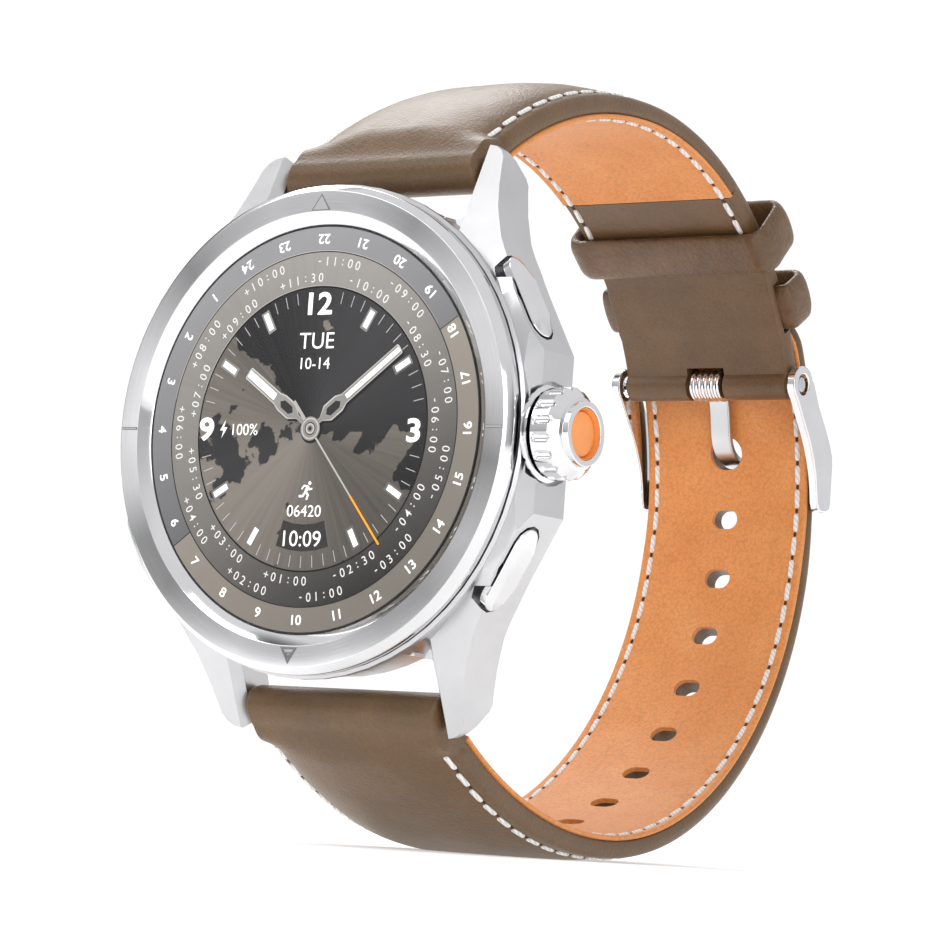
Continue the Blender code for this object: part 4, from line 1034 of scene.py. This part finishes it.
class StrapPath:
    """A line in the YZ plane made of tangent arcs (centre, radius, start angle, end angle)."""

    def __init__(self, arcs):
        self.arcs = arcs
        self.lengths = [radius * math.radians(abs(end - start)) for _, radius, start, end in arcs]
        self.length = sum(self.lengths)

    def at(self, distance):
        """The point at a distance along the line, the outward normal there and the way forward."""
        index = 0
        while index < len(self.arcs) - 1 and distance > self.lengths[index]:
            distance -= self.lengths[index]
            index += 1
        centre, radius, start, end = self.arcs[index]
        angle = math.radians(start + (end - start) * distance / self.lengths[index])
        normal = Vector((0, math.cos(angle), math.sin(angle)))
        ahead = Vector((0, -math.sin(angle), math.cos(angle))) * math.copysign(1.0, end - start)
        return Vector((0, *centre)) + normal * radius, normal, ahead

    def place(self, distance):
        """+X across the strap, +Y along it and +Z outward."""
        point, normal, ahead = self.at(distance)
        return axes(point, ahead.cross(normal), ahead, normal)


def angle_from(centre, point):
    """The angle of a point seen from a centre, in degrees."""
    return math.degrees(math.atan2(point[1] - centre[1], point[0] - centre[0]))


UPPER_RADIUS = 33.55
BUCKLE_PATH = StrapPath([
    ((26.0, -6.75), 43.0, angle_from((26.0, -6.75), (BAR_Y, BAR_Z)), 90),
    ((26.0, 2.7), UPPER_RADIUS, 90, 19.1),
])
HOLE_PATH = StrapPath([
    ((27.0, 9.65), 46.0, angle_from((27.0, 9.65), (BAR_Y, -BAR_Z)), -90),
    ((27.0, -0.4), 35.95, -90, 0),
    ((21.65, -0.4), 41.3, 0, 35.5),
])
TONGUE_FROM = HOLE_PATH.lengths[0] + HOLE_PATH.lengths[1]
LAST_HOLE_AT = TONGUE_FROM + HOLE_PITCH
BAR_SHIFT = 0.3   # the buckle's bar lies this much nearer the wrist than the strap's middle line
BUCKLE_END, BUCKLE_END_OUT, _ = BUCKLE_PATH.at(BUCKLE_PATH.length)
BUCKLE_BAR = BUCKLE_END - BUCKLE_END_OUT * BAR_SHIFT


def upper_at(angle):
    """How far along the buckle half its upper arc has a given angle."""
    return BUCKLE_PATH.lengths[0] + UPPER_RADIUS * math.radians(90 - angle)


LINING_END_AT = upper_at(60.3)


def rise(start, end, value):
    """A smooth step from 0 to 1."""
    share = min(max((value - start) / (end - start), 0.0), 1.0)
    return share * share * (3 - 2 * share)


def flat_height(distance, tongue):
    """Half the thickness of the flat strap; the tongue end is thinner."""
    if not tongue:
        return STRAP_HALF_THICKNESS
    thinning = rise(TONGUE_FROM - 6, TONGUE_FROM + 2, distance)
    return STRAP_HALF_THICKNESS - (STRAP_HALF_THICKNESS - TONGUE_HALF_THICKNESS) * thinning


def round_bar(height, distance, tongue, shift):
    """The same height, opened round the buckle's bar where the buckle half ends."""
    if tongue:
        return height
    from_bar = distance - BUCKLE_PATH.length
    eye = math.sqrt(max(EYE_RADIUS ** 2 - from_bar ** 2, 0.0)) + shift
    return eye if from_bar > 0 else max(height, eye)


def roll_height(distance):
    return math.sqrt(max(ROLL_RADIUS ** 2 - distance ** 2, 0.0))


def outer_height(distance, across, tongue):
    """From the middle line to the show side, padded near the case."""
    if distance < 0:
        return roll_height(distance)
    flat = flat_height(distance, tongue)
    padded = ROLL_RADIUS + (PADDED_HEIGHT - ROLL_RADIUS) * rise(0, 4, distance)
    fall = 1 - rise(PADDING_FALLS_FROM, PADDED_TO, distance)
    height = flat + (padded - flat) * fall * (1 - abs(across) ** 3.4 * rise(1, 4, distance))
    return round_bar(height, distance, tongue, -BAR_SHIFT)


def inner_height(distance, tongue):
    """From the middle line to the wrist side."""
    if distance < 0:
        return roll_height(distance)
    flat = flat_height(distance, tongue)
    height = flat + (ROLL_RADIUS - flat) * (1 - rise(0, 4, distance))
    return round_bar(height, distance, tongue, BAR_SHIFT)


def half_width(distance, tongue):
    end = TONGUE_HALF_WIDTH if tongue else BUCKLE_HALF_WIDTH
    narrow_to = TONGUE_FROM if tongue else BUCKLE_PATH.length
    share = min(max(distance / narrow_to, 0.0), 1.0)
    width = STRAP_HALF_WIDTH + (end - STRAP_HALF_WIDTH) * share
    past = distance - (HOLE_PATH.length - TIP_LENGTH)
    if tongue and past > 0:
        width *= math.sqrt(max(1 - (past / TIP_LENGTH) ** 2, 0.004))
    return width


def channel(x, width):
    """How far the stitches pull the leather in, near both edges."""
    off = (width - STITCH_INSET) - abs(x)
    return 0.13 * math.exp(-(off / 0.42) ** 2)


def stations(start, end, spacing):
    """Evenly spaced distances from start to end."""
    count = max(1, math.ceil((end - start) / spacing))
    return [start + (end - start) * index / count for index in range(count + 1)]


def band(path, tongue, places, top, bottom, edge, steps=36):
    """A closed band of leather between two heights, with rounded long edges."""
    points, rings = [], []
    for distance in places:
        point, normal, _ = path.at(distance)
        width = half_width(distance, tongue)
        ring = []
        inner = max(width - edge, 0.02)
        across = [inner * math.sin(math.pi / 2 * (2 * i / steps - 1)) for i in range(steps + 1)]
        for x in across:
            height = top(distance, x, width)
            ring.append(point + normal * height + Vector((x, 0, 0)))
        high, low = top(distance, inner, width), bottom(distance, inner, width)
        middle, half = (high + low) / 2, (high - low) / 2
        right = [(inner + min(edge, width - 0.01) * math.cos(a), middle + half * math.sin(a))
                 for a in (1.25, 0.85, 0.45, 0.0, -0.45, -0.85, -1.25)]
        ring += [point + normal * h + Vector((x, 0, 0)) for x, h in right]
        for x in reversed(across):
            ring.append(point + normal * bottom(distance, x, width) + Vector((x, 0, 0)))
        ring += [point + normal * h + Vector((-x, 0, 0)) for x, h in reversed(right)]
        rings.append(list(range(len(points), len(points) + len(ring))))
        points += ring
    return points, skin(rings)


def capsule(length, radius, flat=1.0, steps=8):
    """A stitch lying along Y."""
    end = arc((0, length / 2 - radius), radius, 90, 0, 3)
    profile = end + [(r, -h) for r, h in end[::-1]]
    points, faces = turned_faces(profile, steps)
    return [(x, z, y * flat) for x, y, z in points], faces


def add_stitches(name, path, tongue, spans, faces_of):
    """Thread and the pits between stitches along both edges, dark with painted shade for the stitch holes;
    spans give the face and where each row runs.
    """
    stitch = capsule(2.05, 0.3, 0.75)
    pit = capsule(0.62, 0.24, 0.35)
    threads, pits = [], []
    for outward, start, end in spans:
        count = int((end - start) / STITCH_PITCH)
        pitch = (end - start) / count
        for side in (1, -1):
            for index in range(count + 1):
                for kind, shift, lift, store in ((stitch, 0.0, 0.02, threads), (pit, 0.5, -0.02, pits)):
                    if kind is pit and index == count:
                        continue
                    distance = start + pitch * (index + shift)
                    width = half_width(distance, tongue)
                    x = side * (width - STITCH_INSET)
                    height = faces_of(outward, distance, x, width)
                    point, normal, ahead = path.at(distance)
                    slope = (faces_of(outward, distance + 0.5, x, width) -
                             faces_of(outward, distance - 0.5, x, width))
                    facing = normal * outward
                    along = (ahead + normal * slope).normalized()
                    wobble = 0.05 * math.sin(12.9 * index + side)
                    place = axes(point + normal * height + facing * lift + Vector((x, 0, 0)),
                                 (1, wobble * 0.4, 0), along + Vector((wobble, 0, 0)), facing)
                    store.append((*kind, place))
    add_mesh(f"{name}_stitches", *merged(threads), THREAD, "case", "brown_leather")
    add_mesh(f"{name}_stitch_holes", *merged(pits), STITCH_HOLE_SHADE, "case", "brown_leather")


def cut(obj, cutter):
    """Takes the cutter out of the piece and removes the cutter."""
    made = obj.modifiers.new("cut", "BOOLEAN")
    made.operation, made.solver, made.object = "DIFFERENCE", "EXACT", cutter
    graph = bpy.context.evaluated_depsgraph_get()
    mesh = bpy.data.meshes.new_from_object(obj.evaluated_get(graph))
    obj.modifiers.clear()
    material = obj.data.materials[0]
    obj.data = mesh
    mesh.materials.clear()
    mesh.materials.append(material)
    mesh.polygons.foreach_set("material_index", [0] * len(mesh.polygons))
    mesh.set_sharp_from_angle(angle=math.radians(34))
    bpy.data.objects.remove(cutter)


def make_cutter(parts):
    return add_mesh("cutter", *merged(parts), STITCH_HOLE_SHADE, "case", "brown_leather")


def make_strap(prefix, tongue):
    """One strap half: show leather folded to the wrist side at its ends, lining, holes and stitches."""
    path = HOLE_PATH if tongue else BUCKLE_PATH
    lining_end = path.length if tongue else LINING_END_AT
    slot_at = upper_at(FIXED_KEEPER_ANGLE)

    def outer_top(distance, x, width):
        across = x / max(width, 0.5)
        height = outer_height(distance, across, tongue)
        here = (x, distance, 0.0 if tongue else 50.0)
        wrinkle = 0.05 * grain(here, 9.0) + 0.018 * grain(here, 2.2)
        seam = channel(x, width) * rise(2.5, 5.0, distance)
        return height - seam + wrinkle * rise(-1, 2, distance) * (1 - abs(across) ** 6)

    def lining_top(distance, _x, _width):
        return LINING_THICKNESS - inner_height(distance, tongue)

    def outer_bottom(distance, x, width):
        if distance < LINING_FROM or distance > lining_end:
            fold = 0.0
            if not tongue and distance > lining_end:
                here = (x, distance, 140.0)
                shift = 0.35 * grain(here, 8.0)
                step = (rise(slot_at - 3.3, slot_at - 2.5, distance + shift) -
                        rise(slot_at + 2.4, slot_at + 3.3, distance - shift))
                fold = 0.2 * step + 0.03 * grain(here, 3.0)
            return -inner_height(distance, tongue) - fold
        return lining_top(distance, x, width)

    roll = [-ROLL_RADIUS * math.cos(math.radians(a)) for a in (3, 12, 22, 32, 42, 52, 62, 72, 82)]
    places = roll + stations(0, LINING_FROM - 0.02, 0.5) + stations(LINING_FROM + 0.02, PADDED_TO, 0.8)
    if tongue:
        places += stations(PADDED_TO + 0.8, path.length - TIP_LENGTH, 0.9)
        places += [path.length - TIP_LENGTH * (1 - math.sin(math.pi / 2 * i / 14)) for i in range(1, 15)]
    else:
        eye_start = path.length - EYE_RADIUS
        places += [d for d in stations(PADDED_TO + 0.8, eye_start, 0.8) if abs(d - lining_end) > 0.3]
        places += [lining_end - 0.02, lining_end + 0.02]
        places += [path.length - EYE_RADIUS * math.cos(math.radians(a)) for a in range(15, 178, 14)]
    show = band(path, tongue, sorted(places), outer_top, outer_bottom, 0.45)
    outer = add_mesh(f"{prefix}_strap_leather", *show, BROWN, "case", "brown_leather", 50.0)

    lined = stations(LINING_FROM + 0.1, lining_end - 0.1, 1.2)
    if tongue:
        lined = stations(LINING_FROM + 0.1, path.length - TIP_LENGTH, 1.2)
        lined += [path.length - TIP_LENGTH * (1 - math.sin(math.pi / 2 * i / 12)) for i in range(1, 13)]

    def lining_bottom(distance, x, width):
        here = (x, distance, 90.0)
        return -inner_height(distance, tongue) - 0.02 + channel(x, width) * 0.8 + 0.012 * grain(here, 3.0)

    wrist = band(path, tongue, lined, lining_top, lining_bottom, 0.3)
    lining = add_mesh(f"{prefix}_strap_inner_leather", *wrist, ORANGE, "case", "orange_leather", 50.0)

    parts = []
    if tongue:
        holes = [(LAST_HOLE_AT + 0.5, 4.0, 3.6)]
        holes += [(LAST_HOLE_AT - number * HOLE_PITCH, 3.1, 2.1) for number in range(1, HOLE_COUNT)]
        for distance, across, along in holes:
            half = (across - along) / 2 if across > along else 0.02
            radius = min(across, along) / 2
            outline = arc((half, 0), radius, -90, 90, 12) + arc((-half, 0), radius, 90, 270, 12)
            parts.append((*prism(outline, -4, 4), path.place(distance)))
        for piece in (outer, lining):
            cut(piece, make_cutter(parts))
    else:
        notch = path.place(path.length - 2.2)
        cut(outer, make_cutter([(*prism(box(2.3, 0, 6), -3, 3), notch)]))
        at_keeper = path.place(slot_at)
        for side in (1, -1):
            slot = [(side * x, y) for x, y in ((9.3, -2.8), (13.3, -2.8), (13.3, 2.8), (9.3, 2.8))]
            cut(outer, make_cutter([(*prism(slot if side > 0 else slot[::-1], -0.65, 0.65), at_keeper)]))
    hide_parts(f"{prefix}_strap_outer", f"{prefix}_strap_padding")
    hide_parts(f"{prefix}_strap_lining")

    def face_height(outward, distance, x, width):
        if outward > 0:
            return outer_top(distance, x, width)
        bottom = lining_bottom if distance < lining_end else outer_bottom
        return bottom(distance, x, width)

    if tongue:
        spans = [(1, 4.6, path.length - TIP_LENGTH - 0.6), (-1, 5.2, path.length - TIP_LENGTH - 0.6)]
    else:
        spans = [(1, 4.6, path.length - 6.0), (-1, 5.2, lining_end + 7.0)]
    add_stitches(prefix, path, tongue, spans, face_height)


def outward_arc(centre, radius, angles):
    """Points of an arc, each with its outward direction."""
    turns = [(math.cos(math.radians(a)), math.sin(math.radians(a))) for a in angles]
    return [((centre[0] + radius * x, centre[1] + radius * y), (x, y)) for x, y in turns]


def keeper_loop(half_x, low, high, radius):
    """The middle line round a keeper, with outward directions: a rounded box across the strap."""
    x, top, bottom = half_x - radius, high - radius, low + radius
    corners = [((x, top), 0), ((-x, top), 90), ((-x, bottom), 180), ((x, bottom), 270)]
    line = []
    for centre, start in corners:
        line += outward_arc(centre, radius, [start + 90 * index / 8 for index in range(9)])
    return line


def dense(line, spacing, closed):
    """The same line with points no further apart than the spacing."""
    result = []
    for (p, n), (q, m) in zip(line, line[1:] + line[:1] if closed else line[1:]):
        count = max(1, math.ceil(math.dist(p, q) / spacing))
        for index in range(count):
            t = index / count
            outward = Vector(n).lerp(Vector(m), t).normalized()
            result.append((tuple(Vector(p).lerp(Vector(q), t)), tuple(outward)))
    if not closed:
        result.append(line[-1])
    return result


def keeper(name, line, wall, place, body, closed, seed):
    """A pillowy leather band swept round a line; its edges are turned in and its outside is domed."""
    section = []
    for index in range(28):
        a = 2 * math.pi * index / 28
        c, s = math.cos(a), math.sin(a)
        along = KEEPER_HALF_WIDTH * math.copysign(abs(s) ** 0.55, s)
        out = wall / 2 * math.copysign(abs(c) ** 0.8, c)
        dome = 0.18 * (1 - (along / KEEPER_HALF_WIDTH) ** 2) if c > 0 else 0.0
        section.append((out + dome * max(c, 0) - 0.05, along))
    points, rings = [], []
    for (x, y), (nx, ny) in line:
        ring = []
        for out, along in section:
            spot = (x + nx * out, y + ny * out, along)
            wave = 0.05 * grain((spot[0] + seed, spot[1], spot[2]), 2.4) + 0.09 * grain(
                (spot[0] * 0.5 + seed, spot[1] * 0.5, spot[2]), 3.5, 2)
            if out < 0:
                wave = 0.0
            ring.append(len(points))
            points.append((spot[0] + nx * wave, spot[1] + ny * wave, spot[2]))
        rings.append(ring)
    return add_mesh(name, points, skin(rings, closed), KEEPER_LEATHER, body, "brown_leather", 60.0, place)


def across_strap(angle):
    """+X across the strap, +Y outward and +Z along it."""
    point, normal, ahead = BUCKLE_PATH.at(upper_at(angle))
    return axes(point, normal.cross(ahead), normal, ahead)


def make_keepers():
    """A loose keeper all round both straps, and a fixed one whose ends go into slots in the strap's edges."""
    wall = 1.2
    low = -STRAP_HALF_THICKNESS - KEEPER_GAP
    line = keeper_loop(11.1 + wall / 2, low - wall / 2, KEEPER_TOP, KEEPER_CORNER)
    loose = keeper("loose_keeper_leather", dense(line, 0.5, True), wall, across_strap(LOOSE_KEEPER_ANGLE),
                   "loose_keeper", True, 3.0)
    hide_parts("loose_keeper")
    x = 11.3
    right = [((9.75, 0.0), (0.25, -1.0)), ((10.6, 0.0), (0.5, -0.86))]
    right += outward_arc((x - 0.25, 0.35), 0.25, [math.degrees(turn) - 90 for turn in (0.7, 1.2)])
    right += [((x, 0.9), (1.0, 0.0))]
    right += outward_arc((x - KEEPER_CORNER, KEEPER_TOP - KEEPER_CORNER), KEEPER_CORNER,
                         [90 * index / 8 for index in range(9)])
    left = [((-px, py), (-nx, ny)) for (px, py), (nx, ny) in reversed(right)]
    fixed = keeper("fixed_keeper_leather", dense(right + left, 0.5, False), 1.15,
                   across_strap(FIXED_KEEPER_ANGLE), "case", False, 31.0)
    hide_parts("fixed_keeper")


# ======== buckle ========

def side_axes(x=0.0):
    """+X into the wrist, +Y up to twelve, +Z towards the crown side."""
    return axes((x, 0, 0), (0, 1, 0), (0, 0, 1), (1, 0, 0))


def make_buckle():
    """Two curved arms with eyes round the bar, a plate across their ends and the bar's pin heads."""
    bar_y, bar_z = BUCKLE_BAR.y, BUCKLE_BAR.z
    curve = [(57.8, 9.9), (58.9, 8.5), (59.75, 7.2), (60.5, 5.8), (61.1, 4.4), (61.5, 2.9), (61.75, 1.5),
             (62.1, 0.75), (62.7, 0.55), (63.8, 0.6), (64.4, 0.95), (64.6, 1.6), (64.6, 5.8), (64.45, 6.7),
             (63.9, 7.8), (62.6, 9.7), (61.0, 11.7), (59.6, 14.1)]
    arm = arc((bar_y, bar_z), 2.0, 20, 235, 18) + curve
    parts = []
    for side in (1, -1):
        low, high = sorted((side * 10.5, side * 11.5))
        parts.append((*prism(arm, low, high), side_axes()))
    body = add_mesh("buckle_body", *merged(parts), POLISHED, "buckle", "polished_steel")
    eye = prism(arc((bar_y, bar_z), 1.12, 0, 345, 23), -13, 13)
    cut(body, make_cutter([(*eye, side_axes())]))
    soften(body, 0.26, 4, 30.0)
    plate_line = [(64.1, 0.8), (64.35, 0.62), (64.65, 0.75), (64.85, 1.4), (64.85, 3.5), (64.65, 4.15),
                  (64.3, 4.2), (64.1, 3.9)]
    plate = add_mesh("buckle_plate", *prism(plate_line, -10.8, 10.8), POLISHED, "buckle", "polished_steel",
                     place=side_axes())
    soften(plate, 0.12, 3, 40.0)
    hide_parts("buckle_frame")
    pins = []
    for side in (1, -1):
        turn = side_axes() if side > 0 else side_axes() @ Matrix.Rotation(math.pi, 4, "X")
        profile = rounded([(0, 11.28), (0.72, 11.28), (0.72, 10.6), (0, 10.6)], 0.08)
        centre = Matrix.Translation((bar_y, bar_z * side, 0))
        pins.append((*turned_faces(profile, 40), turn @ centre))
    add_mesh("buckle_pins", *merged(pins), SATIN, "buckle", "polished_steel")
    make_tang(bar_y, bar_z)


def flowing(line, steps=4):
    """A smooth curve through the points of a line in a plane."""
    smooth = []
    for index in range(len(line) - 1):
        before, here = Vector(line[max(index - 1, 0)]), Vector(line[index])
        after, last = Vector(line[index + 1]), Vector(line[min(index + 2, len(line) - 1)])
        for step in range(steps):
            t = step / steps
            square = (2 * before - 5 * here + 4 * after - last) * t * t
            cube = (3 * here - before - 3 * after + last) * t ** 3
            smooth.append(0.5 * (2 * here + (after - before) * t + square + cube))
    return smooth + [Vector(line[-1])]


def make_tang(bar_y, bar_z):
    """The ribbed knuckle round the bar and the blade that bends through its hole."""
    line = flowing([
        (bar_y + 1.3, bar_z - 0.2), (59.1, 12.9), (59.6, 11.9), (60.0, 10.3), (60.3, 8.8), (60.55, 8.0),
        (60.95, 7.3), (61.5, 6.75), (62.4, 6.25), (63.4, 5.98), (64.5, 5.85), (65.2, 5.6), (65.8, 5.2),
        (66.25, 4.65), (66.6, 3.75),
    ])
    points, rings = [], []
    thick, chamfer, edge = 0.42, 0.28, 0.1
    for index, spot in enumerate(line):
        ahead = (line[min(index + 1, len(line) - 1)] - line[max(index - 1, 0)]).normalized()
        out = Vector((-ahead.y, ahead.x))
        half = 1.2 - 0.22 * rise(0.75, 1.0, index / (len(line) - 1))
        outline = [(half, -thick + edge), (half, thick - chamfer), (half - chamfer, thick),
                   (-half + chamfer, thick), (-half, thick - chamfer), (-half, -thick + edge),
                   (-half + edge, -thick), (half - edge, -thick)]
        rings.append(list(range(len(points), len(points) + len(outline))))
        points += [(x, spot.x + out.x * up, spot.y + out.y * up) for x, up in outline]
    tang = add_mesh("tang_blade", points, skin(rings), SATIN, "tang", "polished_steel", 30.0)
    soften(tang, 0.05, 2, 30.0)
    steps = KNUCKLE_RIBS * 8
    profile = [(1.13, -1.9)]
    for index in range(steps + 1):
        wave = abs(math.sin(math.pi * index / 8))
        profile.append((1.5 + 0.26 * wave ** 0.5, -1.85 + 3.7 * index / steps))
    profile.append((1.13, 1.9))
    along_bar = axes((0, bar_y, bar_z), (0, 1, 0), (0, 0, 1), (1, 0, 0))
    turned("tang_knuckle", profile, along_bar, POLISHED, "tang", "polished_steel", 64, sharp=50.0)
    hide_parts("buckle_tang")


# ======== the back ========

def make_back():
    """The sensor's lens sectors and emitters, seen through its window."""
    place = axes((0, BACK_Y, 0), (-1, 0, 0), (0, 0, 1), (0, 1, 0))
    flat = Matrix.Identity(4)
    lenses = [(*ring_sector(4.4, 6.3, start + 12, start + 78, 0.0, 0.012, 24), flat)
              for start in range(0, 360, 90)]
    add_mesh("sensor_lenses", *merged(lenses), SENSOR_WINDOW, "case", "sensor_glass", place=place)
    dots = [(*prism(arc((0, 0), 1.25, 0, 345, 23), 0.0, 0.014), flat)]
    for clockwise in (0, 90, 180, 270):
        dots.append((*prism(arc(at_angle(5.35, clockwise), 0.42, 0, 340, 17), 0.0, 0.014), flat))
    add_mesh("sensor_emitters", *merged(dots), EMITTER, "case", "sensor_glass", place=place)


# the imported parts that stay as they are, by material
KEPT = (
    (SATIN, ["vibration_motor"]),
    (POLISHED, ["buckle_bar", "crown_tube", "crown_stem"]),
    (CERAMIC, ["back_cover"]),
    (SENSOR_GLASS, ["sensor_window"]),
    (RUBBER, ["back_gasket", "crown_seal", "display_gasket", "upper_pusher_seal", "lower_pusher_seal"]),
    (FOIL, ["battery"]),
    (BOARD, ["main_board", "sensor_board"]),
    (FRAME_PLASTIC, ["crown_plunger", "crown_switch", "inner_frame", "speaker", "upper_pusher_switch",
                     "lower_pusher_switch"]),
    (SCREW, ["upper_spring_bar", "lower_spring_bar"] + [f"back_screw_{number}" for number in range(1, 5)]),
    (GOLD, ["charging_contact_1", "charging_contact_2"]),
)


bpy.context.scene.view_settings.view_transform = "Standard"
make_stage()
make_world()
make_lights()
make_camera()
finish_node("mid_case", SATIN, 0.13)
for material, nodes in KEPT:
    for node in nodes:
        finish_node(node, material)
make_bezel()
make_glass()
make_marks()
make_crown()
make_pushers()
make_dial()
make_strap("buckle", tongue=False)
make_strap("hole", tongue=True)
make_keepers()
make_buckle()
make_back()
